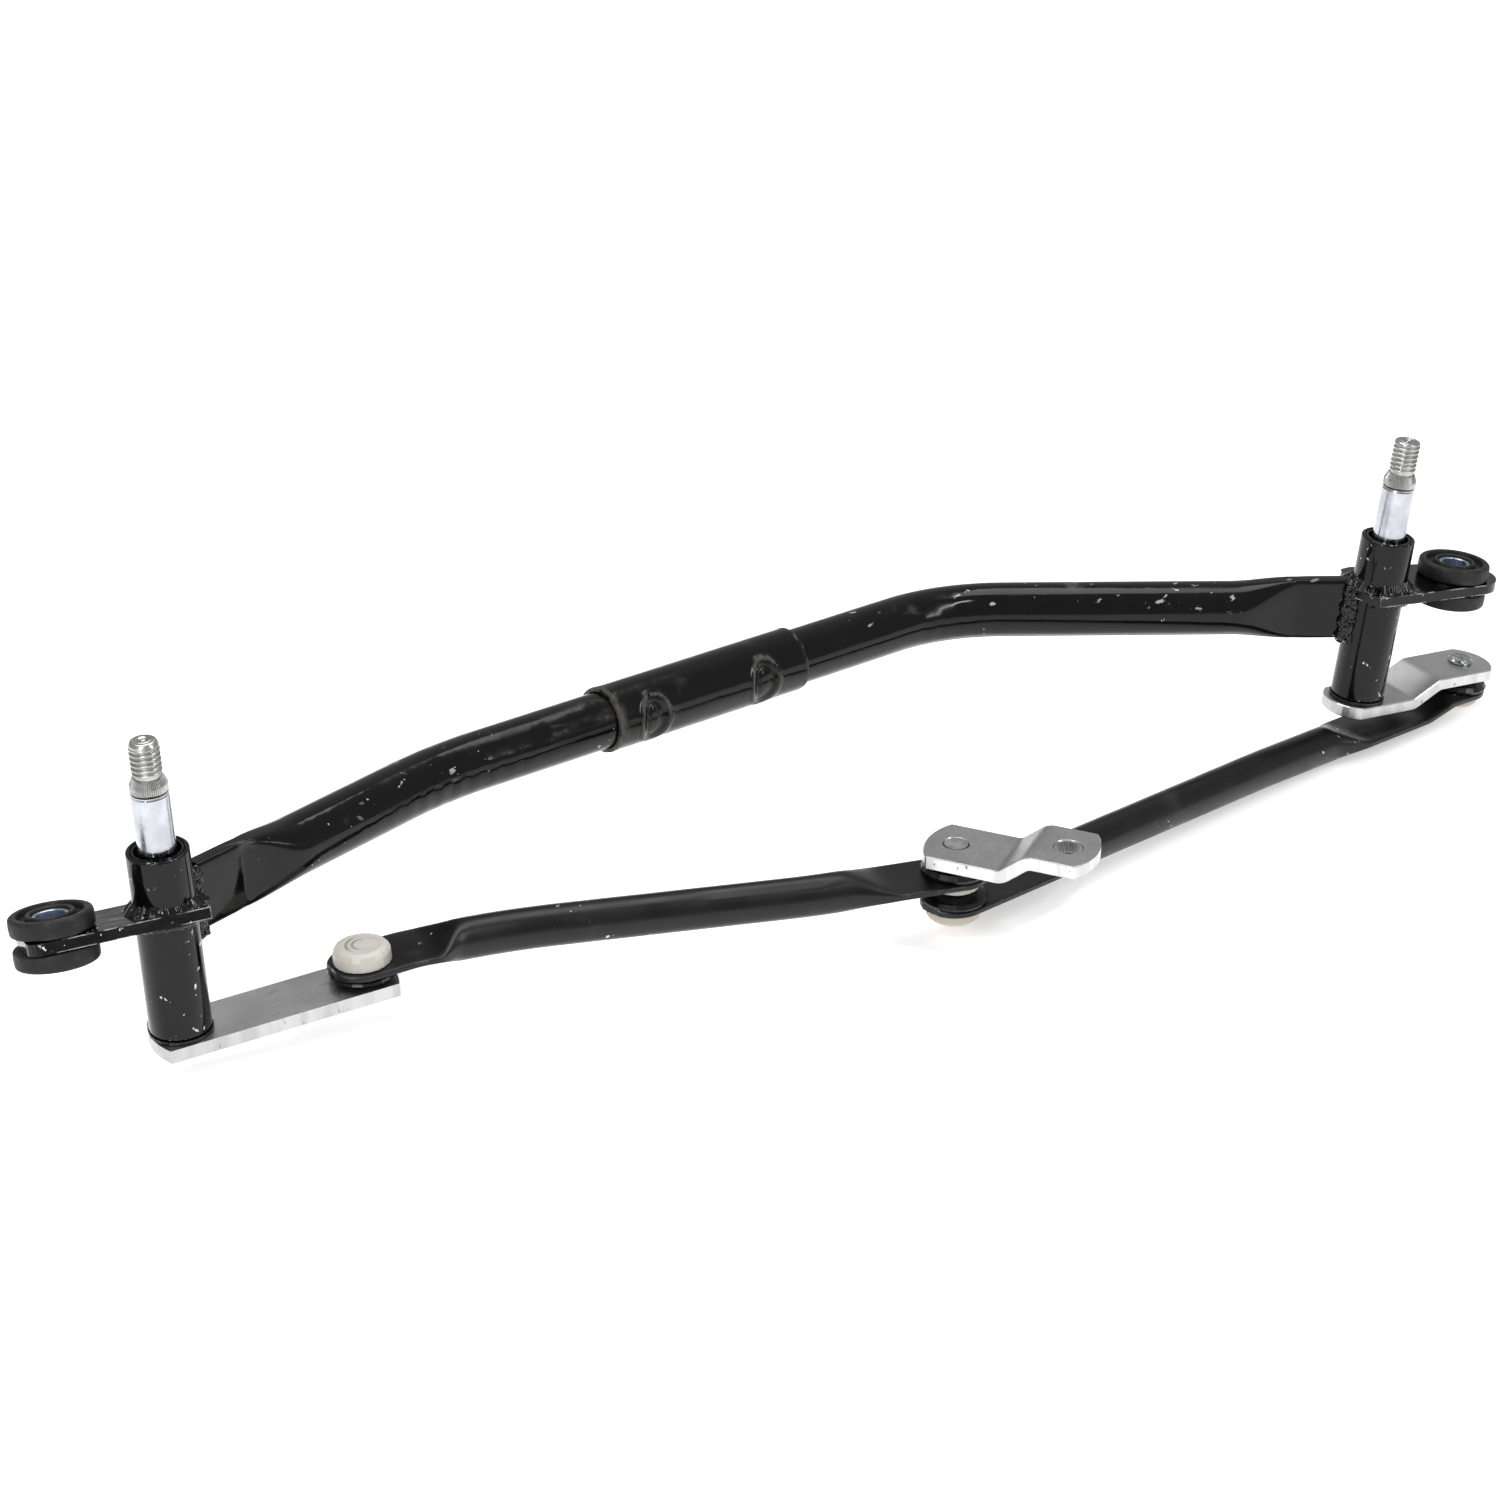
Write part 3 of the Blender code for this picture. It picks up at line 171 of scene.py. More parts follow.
LOWER_BALL_HEIGHT = -0.0044
CRANK_HEADING = radians(-54.9)
CRANK_LENGTH = 0.0410
CRANK_EYE_TOP = 0.0262  # top of the crank arm round the motor's hole
CRANK_THICKNESS = 0.0050
CRANK_HOLE_TOP = 0.0050
CRANK_HOLE_BOTTOM = 0.0054

# ---- finer detail ----
PATH_STEP = 0.003
TUBE_SIDES = 96
TUBE_FIRST_RINGS = (0.0106, 0.0112, 0.016, 0.022)
TUBE_FINE_START = 0.0255
TUBE_FINE_STEP = 0.0012
TUBE_STEP = 0.0022
TUBE_MOUTH_DEPTH = 0.030
TUBE_BENDS = {"left": (0.130, 0.030, pi), "right": (0.169, 0.022, 0.0)}  # place, reach, inner side
SEAM_ANGLES = {"left": radians(-128), "right": radians(-52)}
SEAM_DEPTH = 0.030  # this and the next two are shares of the tube's radius
WRINKLE_DEPTH = 0.016
BEND_FLATTENING = 0.030
WRINKLE_PITCH = 0.0085
CREASE_PLACE = 0.002  # from the blade's end
CREASE_WIDTH = 0.0022
CREASE_DEPTH = 0.10
SLEEVE_STEPS = 184
SLEEVE_SIDES = 160
SLEEVE_FRONT = Vector((-0.10, -1.0, 0.0))
DENT_PLACES = (-0.0278, 0.0241)  # along the sleeve from its middle
DENT_HALF_LENGTH = 0.0062
DENT_HALF_WIDTH = 0.0102
DENT_DEPTH = 0.00118
DENT_RIM = 0.00022
TONGUE_HALF_LENGTH = 0.0022  # the raised tongue inside a dent
TONGUE_HALF_WIDTH = 0.0064
TONGUE_SHIFT = 0.0008
TONGUE_HEIGHT = 0.00060
RAGGED_DEPTH = 0.00028
RAGGED_ENDS = ((0.0026, 0.9), (0.0011, 0.5))  # reach and wear at the left and right ends
RIM_RADIUS = 0.0006
CORE_RADIUS = 0.0044  # where knurl and thread meet inside the shaft
SPIGOT_RADIUS = 0.0050
KNURL_RADIUS = 0.0063
KNURL_TEETH = 56
KNURL_DEPTH = 0.00042
KNURL_SIDES = 448
CONE_HEIGHT = 0.0022
THREAD_RADIUS = 0.0051
THREAD_PITCH = 0.0018
THREAD_DEPTH = 0.00085
THREAD_RELIEF = 0.0012
TIP_DOMES = {"left": 0.0012, "right": 0.0}
CIRCLIP_THICKNESS = 0.0010
CIRCLIP_BORE = 0.0078
CIRCLIP_STEPS = 88
CIRCLIP_FRONT = Vector((-0.45, -0.85, 0))
CIRCLIP_HALF_GAP = 0.13
LUG_ANGLE = 0.30
LUG_HOLE = 0.0006
FILLET_STEPS = 220
FILLET_REACH = 0.0034
FILLET_HEIGHT = 0.0036
BEAD_SIDES = 20
BEAD_STEP = 0.0006
BEAD_TAPER = 0.002
RIPPLE_PITCH = 0.0022
TAB_BEAD_RADIUS = 0.0016
BLADE_BEAD_RADII = {"left": 0.0022, "right": 0.0027}
BLADE_BEADS = (("inner", 0.0098, 1.0, 2.3), ("outer", 0.0122, 0.75, 5.9))  # place, size, seed
LIP_RADIUS = 0.0012
RING_GROOVE = (0.0083, 0.0108)
RING_GROOVE_DEPTH = 0.0020
SPACER_RADIUS = 0.0062
SPACER_BORE = 0.0048
FLAT_HALF_WIDTH = 0.0118
ROD_STEP = 0.0018
ROD_SIDES = 72
PINCH_DEPTH = 0.20
PINCH_REACH = 0.0055
PINCH_PLACES = {"left": 0.029, "right": 0.074}
CHANNEL_DEPTH = 0.055
CHANNEL_EASE = 0.008
CHANNEL_LEFT = (0.100, 0.045)  # start and end, before the crank's end
CRANK_TEETH = 34
TOOTH_DEPTH = 0.00030
STAR_DEPTH = 0.00045

# ---- colours, lights and camera ----
PAINT_BLACK = (0.0022, 0.0022, 0.0024)
ROD_BLACK = (0.0035, 0.0035, 0.0035)
BARE_STEEL = (0.60, 0.59, 0.56)
DUST = (0.24, 0.23, 0.20)
STAIN = (0.30, 0.25, 0.18)
WELD_SPECK = (0.30, 0.28, 0.25)
RUBBED_PAINT = (0.075, 0.068, 0.058)
BRUSH_SCALE = (90, 900, 900)
FLOOR_HALF = 6.0
FLOOR_GAP = 0.001
FLOOR_GLOW = 0.40
WORLD_LIGHT = 0.42
LIGHT_TARGET = Vector((0.29, 0.0, 0.0))
LIGHTS = (  # name, place from the target, size, watts
    ("top_softbox", Vector((0.0, 0.30, 1.30)), (1.5, 0.8), 13),
    ("left_strip", Vector((-1.00, -0.65, 0.80)), (0.10, 1.3), 9),
    ("right_strip", Vector((0.75, -1.05, 1.00)), (0.10, 1.3), 8),
)
CAMERA_PLACE = Vector((-0.4304, -1.00486, 0.64185))  # in the pivot frame
CAMERA_HEADING = radians(32.94)  # from +Y towards +X
CAMERA_DROP = radians(26.41)
CAMERA_ROLL = radians(1.17)
CAMERA_LENS = 91.2


# ---- shape helpers ----
def new_object(name, data, matrix=None):
    """Return a new object, linked to the scene."""
    obj = bpy.data.objects.new(name, data)
    SCENE.collection.objects.link(obj)
    if matrix is not None:
        obj.matrix_world = matrix
    return obj


def grid_mesh(name, rows, cyclic_rows):
    """Return a closed mesh from rows of points; each row is a ring."""
    shape = bmesh.new()
    rings = [[shape.verts.new(point) for point in row] for row in rows]
    count = len(rings[0])
    pairs = list(zip(rings[:-1], rings[1:]))
    if cyclic_rows:
        pairs.append((rings[-1], rings[0]))
    for row, following in pairs:
        for i in range(count):
            j = (i + 1) % count
            shape.faces.new((row[i], row[j], following[j], following[i]))
    if not cyclic_rows:
        shape.faces.new(rings[0])
        shape.faces.new(rings[-1])
    bmesh.ops.recalc_face_normals(shape, faces=shape.faces)
    mesh = bpy.data.meshes.new(name)
    shape.to_mesh(mesh)
    shape.free()
    return mesh


def add_piece(name, rows, look, body, matrix=None, cyclic_rows=False, smooth_angle=40):
    """Add a piece made of rows of points that rides on a body, shaded smooth up to an angle."""
    mesh = grid_mesh(name, rows, cyclic_rows)
    obj = new_object(name, mesh, matrix)
    mesh.materials.append(MATERIALS[look])
    mesh.shade_smooth()
    mesh.set_sharp_from_angle(angle=radians(smooth_angle))
    bpy.context.view_layer.update()
    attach(obj, body)
    return obj


def around(radius, angle, height):
    """Return the point at a radius, an angle and a height about local Z."""
    return radius * cos(angle), radius * sin(angle), height


def lathe(name, profile, matrix, look, body, sides=96, ring=False, relief=None, smooth_angle=40):
    """Turn (radius, height) points about local Z; relief(angle, radius, height) changes a point."""
    rows = []
    for radius, height in profile:
        row = []
        for i in range(sides):
            angle = tau * i / sides
            r, z = (radius, height) if relief is None else relief(angle, radius, height)
            row.append(around(r, angle, z))
        rows.append(row)
    return add_piece(name, rows, look, body, matrix, ring, smooth_angle)


def arc(centre_r, centre_z, radius, start, end, steps):
    """Return (radius, height) points on an arc, with the angles in degrees."""
    angles = [radians(start + (end - start) * i / steps) for i in range(steps + 1)]
    return [(centre_r + radius * cos(a), centre_z + radius * sin(a)) for a in angles]


def soft_corner(outer, height, radius, upper=True):
    """Return the rounded outer corner of a turned piece, listed downwards."""
    if upper:
        return arc(outer - radius, height - radius, radius, 90, 0, 5)
    return arc(outer - radius, height + radius, radius, 0, -90, 5)


def rounded_path(points, radii, step):
    """Return points along a polyline whose inner corners are rounded with the given radii."""
    path = [points[0].copy()]
    for corner, radius, before, after in zip(points[1:-1], radii, points[:-2], points[2:]):
        arriving = (corner - before).normalized()
        leaving = (after - corner).normalized()
        turn = arriving.angle(leaving)
        start = corner - arriving * radius * tan(turn / 2)
        side = (leaving - arriving * arriving.dot(leaving)).normalized()
        centre = start + side * radius
        count = max(2, ceil(radius * turn / step))
        for i in range(count + 1):
            angle = turn * i / count
            path.append(centre - side * radius * cos(angle) + arriving * radius * sin(angle))
    path.append(points[-1].copy())
    return path


def point_along(path, distance):
    """Return the point and the direction at a distance along a path."""
    remaining = distance
    for start, end in zip(path[:-1], path[1:]):
        length = (end - start).length
        if remaining <= length or end is path[-1]:
            direction = (end - start).normalized()
            return start + direction * remaining, direction
        remaining -= length


def path_length(path):
    """Return the length of a path."""
    return sum((end - start).length for start, end in zip(path[:-1], path[1:]))


def section_ring(centre, along, up, half_width, half_height, squareness, sides, relief=None):
    """Return a ring: an ellipse at squareness 0, nearly a rectangle at squareness 1."""
    side = up.cross(along).normalized()
    upward = along.cross(side).normalized()
    power = 1 - 0.72 * squareness
    ring = []
    for i in range(sides):
        angle = tau * (i + 0.5) / sides
        across = copysign(abs(cos(angle)) ** power, cos(angle)) * half_width
        height = copysign(abs(sin(angle)) ** power, sin(angle)) * half_height
        scale = 1 if relief is None else relief(angle)
        ring.append(centre + (side * across + upward * height) * scale)
    return ring


def ease(value):
    """Return a smooth step from 0 to 1."""
    value = max(0, min(1, value))
    return value * value * (3 - 2 * value)


def bump_at(value, centre, width):
    """Return a smooth hump of height 1 about a centre."""
    return exp(-((value - centre) / width) ** 2)


def angle_gap(first, second):
    """Return the difference of two angles in radians, from -pi to pi."""
    return (first - second + pi) % tau - pi


# ---- materials ----
def fill(node, values):
    """Give a node's inputs their values."""
    for name, value in values.items():
        node.inputs[name].default_value = value


class Paint:
    """A material under construction: nodes are added with short calls."""

    def __init__(self, name, colour, roughness, metallic=0.0, gloss=0.5):
        self.material = bpy.data.materials.new(name)
        self.material.use_nodes = True
        self.nodes = self.material.node_tree.nodes
        self.links = self.material.node_tree.links
        self.shader = self.nodes["Principled BSDF"]
        fill(self.shader, {"Base Color": (*colour, 1), "Roughness": roughness, "Metallic": metallic,
                           "Specular IOR Level": gloss})
        self.place = self.nodes.new("ShaderNodeTexCoord")

    def noise(self, scale, detail, stretch=(1, 1, 1), offset=0.0):
        """Return a noise value in object coordinates, stretched by a vector."""
        texture = self.nodes.new("ShaderNodeTexNoise")
        texture.noise_dimensions = "4D"
        fill(texture, {"W": offset, "Scale": scale, "Detail": detail})
        mapping = self.nodes.new("ShaderNodeMapping")
        mapping.inputs["Scale"].default_value = stretch
        self.links.new(self.place.outputs["Object"], mapping.inputs["Vector"])
        self.links.new(mapping.outputs["Vector"], texture.inputs["Vector"])
        return texture.outputs["Fac"]

    def feed(self, socket, value):
        """Link a value to an input, or set the input to a plain number or colour."""
        if isinstance(value, bpy.types.NodeSocket):
            self.links.new(value, socket)
        else:
            socket.default_value = (*value, 1) if isinstance(value, tuple) else value

    def math(self, operation, first, second=0.0, clamp=False):
        """Return the result of a maths node."""
        node = self.nodes.new("ShaderNodeMath")
        node.operation = operation
        node.use_clamp = clamp
        self.feed(node.inputs[0], first)
        self.feed(node.inputs[1], second)
        return node.outputs[0]

    def both(self, first, second):
        """Return the product of two values."""
        return self.math("MULTIPLY", first, second)

    def either(self, first, second):
        """Return the larger of two values."""
        return self.math("MAXIMUM", first, second)

    def step(self, value, low, high, start=0.0, end=1.0):
        """Return a value mapped from low..high to start..end and held there."""
        node = self.nodes.new("ShaderNodeMapRange")
        node.interpolation_type = "SMOOTHSTEP"
        self.links.new(value, node.inputs["Value"])
        fill(node, {"From Min": low, "From Max": high, "To Min": start, "To Max": end})
        return node.outputs["Result"]

    def patches(self, scale, detail, low, high, offset, stretch=(1, 1, 1), start=0.0, end=1.0):
        """Return noise mapped from low..high to start..end."""
        return self.step(self.noise(scale, detail, stretch, offset), low, high, start, end)

    def blend(self, factor, first, second):
        """Return a mix of two colours."""
        node = self.nodes.new("ShaderNodeMix")
        node.data_type = "RGBA"
        for index, value in ((0, factor), (6, first), (7, second)):
            self.feed(node.inputs[index], value)
        return node.outputs[2]

    def edges(self, width):
        """Return a mask of the sharp edges within a width."""
        bevel = self.nodes.new("ShaderNodeBevel")
        bevel.inputs["Radius"].default_value = width
        bevel.samples = 6
        geometry = self.nodes.new("ShaderNodeNewGeometry")
        dot = self.nodes.new("ShaderNodeVectorMath")
        dot.operation = "DOT_PRODUCT"
        self.links.new(bevel.outputs["Normal"], dot.inputs[0])
        self.links.new(geometry.outputs["Normal"], dot.inputs[1])
        return self.step(dot.outputs["Value"], 0.985, 0.86)

    def split(self, output):
        """Return x, y and z of the object's coordinates or of its own normals."""
        node = self.nodes.new("ShaderNodeSeparateXYZ")
        self.links.new(self.place.outputs[output], node.inputs[0])
        return node.outputs

    def facing_up(self, low, high):
        """Return how far the surface faces up in the object's own frame."""
        return self.step(self.split("Normal")["Z"], low, high)

    def facing_flat(self):
        """Return 1 on a plate's broad faces and 0 on its rim."""
        return self.step(self.math("ABSOLUTE", self.split("Normal")["Z"]), 0.55, 0.75)

    def bump(self, height, strength, distance):
        """Give the surface a fine relief."""
        node = self.nodes.new("ShaderNodeBump")
        fill(node, {"Strength": strength, "Distance": distance})
        self.links.new(height, node.inputs["Height"])
        self.links.new(node.outputs["Normal"], self.shader.inputs["Normal"])

    def cover(self, mask, first, second):
        """Colour the surface with a mix of two colours."""
        self.links.new(self.blend(mask, first, second), self.shader.inputs["Base Color"])

    def roughen(self, value):
        """Give the surface its roughness."""
        self.links.new(value, self.shader.inputs["Roughness"])


def black_paint(name, chip_limit, dust, edge_wear=0.0, scratches=0.0):
    """Glossy black paint with dusty scuffs, small pale chips, scratches and bare plate edges."""
    paint = Paint(name, PAINT_BLACK, 0.16, gloss=0.26)
    streak = paint.noise(240, 5, (0.25, 1, 1), 2.0)
    scuff = paint.both(paint.patches(38, 6, 0.54, 0.70, 1.0), paint.step(streak, 0.42, 0.66))
    scuff = paint.both(paint.both(scuff, paint.facing_up(-0.1, 0.7)), dust)
    chips = paint.both(paint.patches(420, 3, chip_limit, chip_limit + 0.015, 3.0),
                       paint.patches(45, 2, 0.50, 0.58, 4.0))
    if edge_wear:
        worn = paint.both(paint.edges(0.0008), paint.patches(160, 4, 0.44, 0.60, 5.0))
        chips = paint.either(chips, paint.both(worn, edge_wear))
    if scratches:
        marks = paint.both(paint.patches(330, 3, 0.635, 0.665, 8.0, (0.5, 1, 1)),
                           paint.patches(32, 3, 0.50, 0.58, 9.0))
        marks = paint.both(marks, paint.facing_up(0.0, 0.6))
        chips = paint.either(chips, paint.both(marks, scratches))
    colour = paint.blend(scuff, PAINT_BLACK, DUST)
    paint.cover(chips, colour, BARE_STEEL)
    rough = paint.patches(70, 5, 0.35, 0.75, 6.0, start=0.07, end=0.20)
    paint.roughen(paint.math("ADD", rough, paint.both(scuff, 1.2), clamp=True))
    ripple = paint.math("ADD", paint.noise(90, 2, offset=7.0), paint.both(streak, 0.08))
    paint.bump(paint.math("SUBTRACT", ripple, paint.both(chips, 0.5)), 0.30, 0.0006)
    return paint.material


def satin_rod(name):
    """Satin black paint of the rods, with a few chips down to the steel."""
    paint = Paint(name, ROD_BLACK, 0.34, gloss=0.32)
    chips = paint.both(paint.patches(360, 3, 0.67, 0.69, 8.0), paint.patches(34, 2, 0.54, 0.60, 9.0))
    worn = paint.both(paint.edges(0.0009), paint.patches(220, 4, 0.50, 0.62, 5.0))
    dust = paint.both(paint.patches(60, 6, 0.55, 0.75, 10.0), 0.06)
    colour = paint.blend(dust, ROD_BLACK, DUST)
    paint.cover(paint.either(chips, worn), colour, BARE_STEEL)
    paint.roughen(paint.patches(80, 4, 0.3, 0.7, 11.0, start=0.27, end=0.38))
    paint.bump(paint.noise(900, 3, offset=1.0), 0.10, 0.0002)
    return paint.material


def weld_metal(name):
    """Painted weld beads: lumpy and glossy, with a few pale specks."""
    paint = Paint(name, PAINT_BLACK, 0.08, gloss=0.40)
    specks = paint.patches(430, 4, 0.69, 0.72, 2.0)
    paint.cover(specks, PAINT_BLACK, WELD_SPECK)
    paint.bump(paint.noise(240, 3, offset=3.0), 0.45, 0.0008)
    return paint.material


def bright_zinc(name, colour, rough, speckle):
    """Bright zinc plate with faint cloudy patches and fine specks."""
    paint = Paint(name, colour, rough, 1.0)
    cloud = paint.patches(120, 5, 0.35, 0.70, 1.0)
    specks = paint.both(paint.patches(700, 3, 0.60, 0.70, 2.0), speckle)
    dim = tuple(0.92 * channel for channel in colour)
    lit = tuple(1.22 * channel for channel in colour)
    paint.cover(specks, paint.blend(cloud, dim, lit), (0.22, 0.22, 0.22))
    paint.roughen(paint.patches(260, 5, 0.3, 0.7, 3.0, start=rough * 0.8, end=rough * 1.7))
    paint.bump(paint.noise(600, 4, offset=4.0), 0.12, 0.0003)
    return paint.material


def stamped_plate(name, top_grey, rim_grey, heading, brushing):
    """A stamped plate: a satin grey face and a bright sheared rim with marks across it."""
    paint = Paint(name, (top_grey,) * 3, 0.34, 1.0)
    turn = paint.nodes.new("ShaderNodeMapping")
    fill(turn, {"Rotation": (0, 0, -heading), "Scale": BRUSH_SCALE})
    paint.links.new(paint.place.outputs["Object"], turn.inputs["Vector"])
    texture = paint.nodes.new("ShaderNodeTexNoise")
    fill(texture, {"Scale": 1.0, "Detail": 4.0})
    paint.links.new(turn.outputs["Vector"], texture.inputs["Vector"])
    brush = texture.outputs["Fac"]
    cloud = paint.patches(60, 4, 0.3, 0.7, 1.0)
    face = paint.blend(cloud, (top_grey * 0.92,) * 3, (top_grey * 1.08,) * 3)
    scratch = paint.both(paint.step(brush, 0.62, 0.70), brushing)
    face = paint.blend(scratch, face, (top_grey * 0.55,) * 3)
    specks = paint.both(paint.patches(800, 3, 0.62, 0.70, 3.0), 0.25)
    face = paint.blend(specks, face, (0.12, 0.12, 0.12))
    shear = paint.patches(160, 4, 0.38, 0.60, 2.0, (1, 1, 0.12))
    rim = paint.blend(shear, (rim_grey * 0.80,) * 3, (rim_grey,) * 3)
    rim = paint.blend(paint.patches(520, 4, 0.64, 0.68, 6.0, (1, 1, 0.4)), rim, (0.20, 0.20, 0.20))
    colour = paint.blend(paint.facing_flat(), rim, face)
    paint.cover(paint.both(paint.edges(0.0005), 0.75), colour, (0.74, 0.74, 0.73))
    grain = paint.noise(1100, 3, offset=4.0)
    paint.roughen(paint.step(grain, 0.3, 0.7, 0.30, 0.42))
    paint.bump(paint.math("ADD", paint.both(grain, 0.5), paint.both(brush, brushing)), 0.12, 0.0003)
    return paint.material


def rubber(name, grey, smooth, rough, dust):
    """Black rubber between two roughnesses, with a dusty bloom."""
    paint = Paint(name, (grey,) * 3, rough, gloss=0.35)
    bloom = paint.both(paint.patches(260, 6, 0.50, 0.78, 1.0), dust)
    paint.cover(bloom, (grey,) * 3, (0.20, 0.20, 0.19))
    paint.roughen(paint.patches(150, 4, 0.3, 0.7, 2.0, start=smooth, end=rough))
    paint.bump(paint.noise(900, 3, offset=3.0), 0.25, 0.0002)
    return paint.material


def nylon(name, colour, centre, ring_radius):
    """Moulded nylon with stained rings about its middle."""
    paint = Paint(name, colour, 0.34)
    fill(paint.shader, {"Subsurface Weight": 0.35, "Subsurface Scale": 0.004,
                        "Subsurface Radius": (1.0, 0.8, 0.55)})
    axes = paint.split("Object")
    away_x = paint.math("SUBTRACT", axes["X"], centre.x)
    away_y = paint.math("SUBTRACT", axes["Y"], centre.y)
    square = paint.math("ADD", paint.both(away_x, away_x), paint.both(away_y, away_y))
    radius = paint.math("SQRT", square)
    marks = []
    for size, low, high in ((ring_radius, 0.40, 0.60), (ring_radius * 0.62, 0.48, 0.62)):
        away = paint.math("ABSOLUTE", paint.math("SUBTRACT", radius, size))
        marks.append(paint.both(paint.step(away, 0.0007, 0.0002),
                                paint.patches(130, 3, low, high, size * 1000)))
    rings = paint.either(*marks)
    cloud = paint.both(paint.patches(200, 4, 0.45, 0.75, 2.0), 0.25)
    rim = paint.both(paint.step(radius, 0.0078, 0.0092), 0.25)
    mask = paint.either(paint.either(rings, cloud), rim)
    paint.cover(mask, colour, STAIN)
    fine = paint.both(paint.noise(500, 3, offset=3.0), 0.2)
    paint.bump(paint.math("SUBTRACT", fine, rings), 0.25, 0.0003)
    return paint.material


def scuffed_sleeve_paint():
    """Black paint of the centre sleeve, rubbed grey round its dents and rough at its ends."""
    paint = Paint("sleeve_paint", PAINT_BLACK, 0.20, gloss=0.26)
    mask = paint.nodes.new("ShaderNodeAttribute")
    mask.attribute_name = "wear"
    grit = paint.patches(320, 5, 0.36, 0.60, 1.0, (0.5, 1, 1))
    worn = paint.math("MULTIPLY", mask.outputs["Fac"], grit, clamp=True)
    cloud = paint.both(paint.patches(60, 6, 0.55, 0.72, 2.0), 0.10)
    colour = paint.blend(cloud, PAINT_BLACK, DUST)
    paint.cover(worn, colour, RUBBED_PAINT)
    paint.roughen(paint.math("ADD", paint.both(worn, 0.5), 0.13, clamp=True))
    rubbed = paint.both(paint.both(worn, paint.noise(700, 3)), 1.2)
    paint.bump(paint.math("ADD", paint.noise(90, 2, offset=3.0), rubbed), 0.45, 0.0006)
    return paint.material


MATERIALS = {
    "frame": black_paint("frame_paint", 0.69, 0.45, scratches=0.55),
    "housing": black_paint("housing_paint", 0.655, 0.10),
    "tab": black_paint("tab_paint", 0.65, 0.22, edge_wear=0.9),
    "rod": satin_rod("rod_paint"),
    "weld": weld_metal("weld_paint"),
    "worn_sleeve": scuffed_sleeve_paint(),
    "zinc": bright_zinc("zinc_plate", (0.46, 0.48, 0.51), 0.17, 0.12),
    "thread": bright_zinc("thread_zinc", (0.44, 0.44, 0.43), 0.24, 0.35),
    "knurl": bright_zinc("knurl_steel", (0.42, 0.42, 0.41), 0.30, 0.30),
    "rivet": bright_zinc("rivet_steel", (0.33, 0.33, 0.32), 0.34, 0.50),
    "sleeve": bright_zinc("blue_zinc", (0.40, 0.47, 0.56), 0.24, 0.20),
    "bronze": bright_zinc("sintered_bronze", (0.34, 0.25, 0.16), 0.45, 0.5),
    "lever_left": stamped_plate("left_lever_steel", 0.58, 0.52, radians(-4.5), 0.5),
    "lever_right": stamped_plate("right_lever_zinc", 0.54, 0.64, radians(2.2), 0.3),
    "crank": stamped_plate("crank_steel", 0.42, 0.68, CRANK_HEADING, 0.0),
    "rubber": rubber("grommet_rubber", 0.006, 0.48, 0.70, 0.10),
    "boot": rubber("boot_rubber", 0.003, 0.22, 0.40, 0.05),
    "white_nylon": nylon("white_nylon_cap", (0.50, 0.49, 0.455), joint_place("left_rod_pivot"), 0.0056),
    "beige_nylon": nylon("beige_nylon_cap", (0.52, 0.48, 0.41), joint_place("crank_spin"), 0.0060),
}


# ---- frame tubes and their sleeve ----
def frame_paths():
    """Return the two frame tubes' paths, each from its pivot to the sleeve."""
    share = (SLEEVE_CENTRE_X - FRAME_BEND_LEFT.x) / (FRAME_BEND_RIGHT.x - FRAME_BEND_LEFT.x)
    centre = FRAME_BEND_LEFT.lerp(FRAME_BEND_RIGHT, share)
    half_gap = (FRAME_BEND_RIGHT - FRAME_BEND_LEFT).normalized() * TUBE_END_GAP / 2
    return {
        "left": rounded_path([FRAME_START, FRAME_BEND_LEFT, centre - half_gap],
                             [FRAME_BEND_RADIUS_LEFT], PATH_STEP),
        "right": rounded_path([FRAME_END, FRAME_BEND_RIGHT, centre + half_gap],
                              [FRAME_BEND_RADIUS_RIGHT], PATH_STEP),
    }


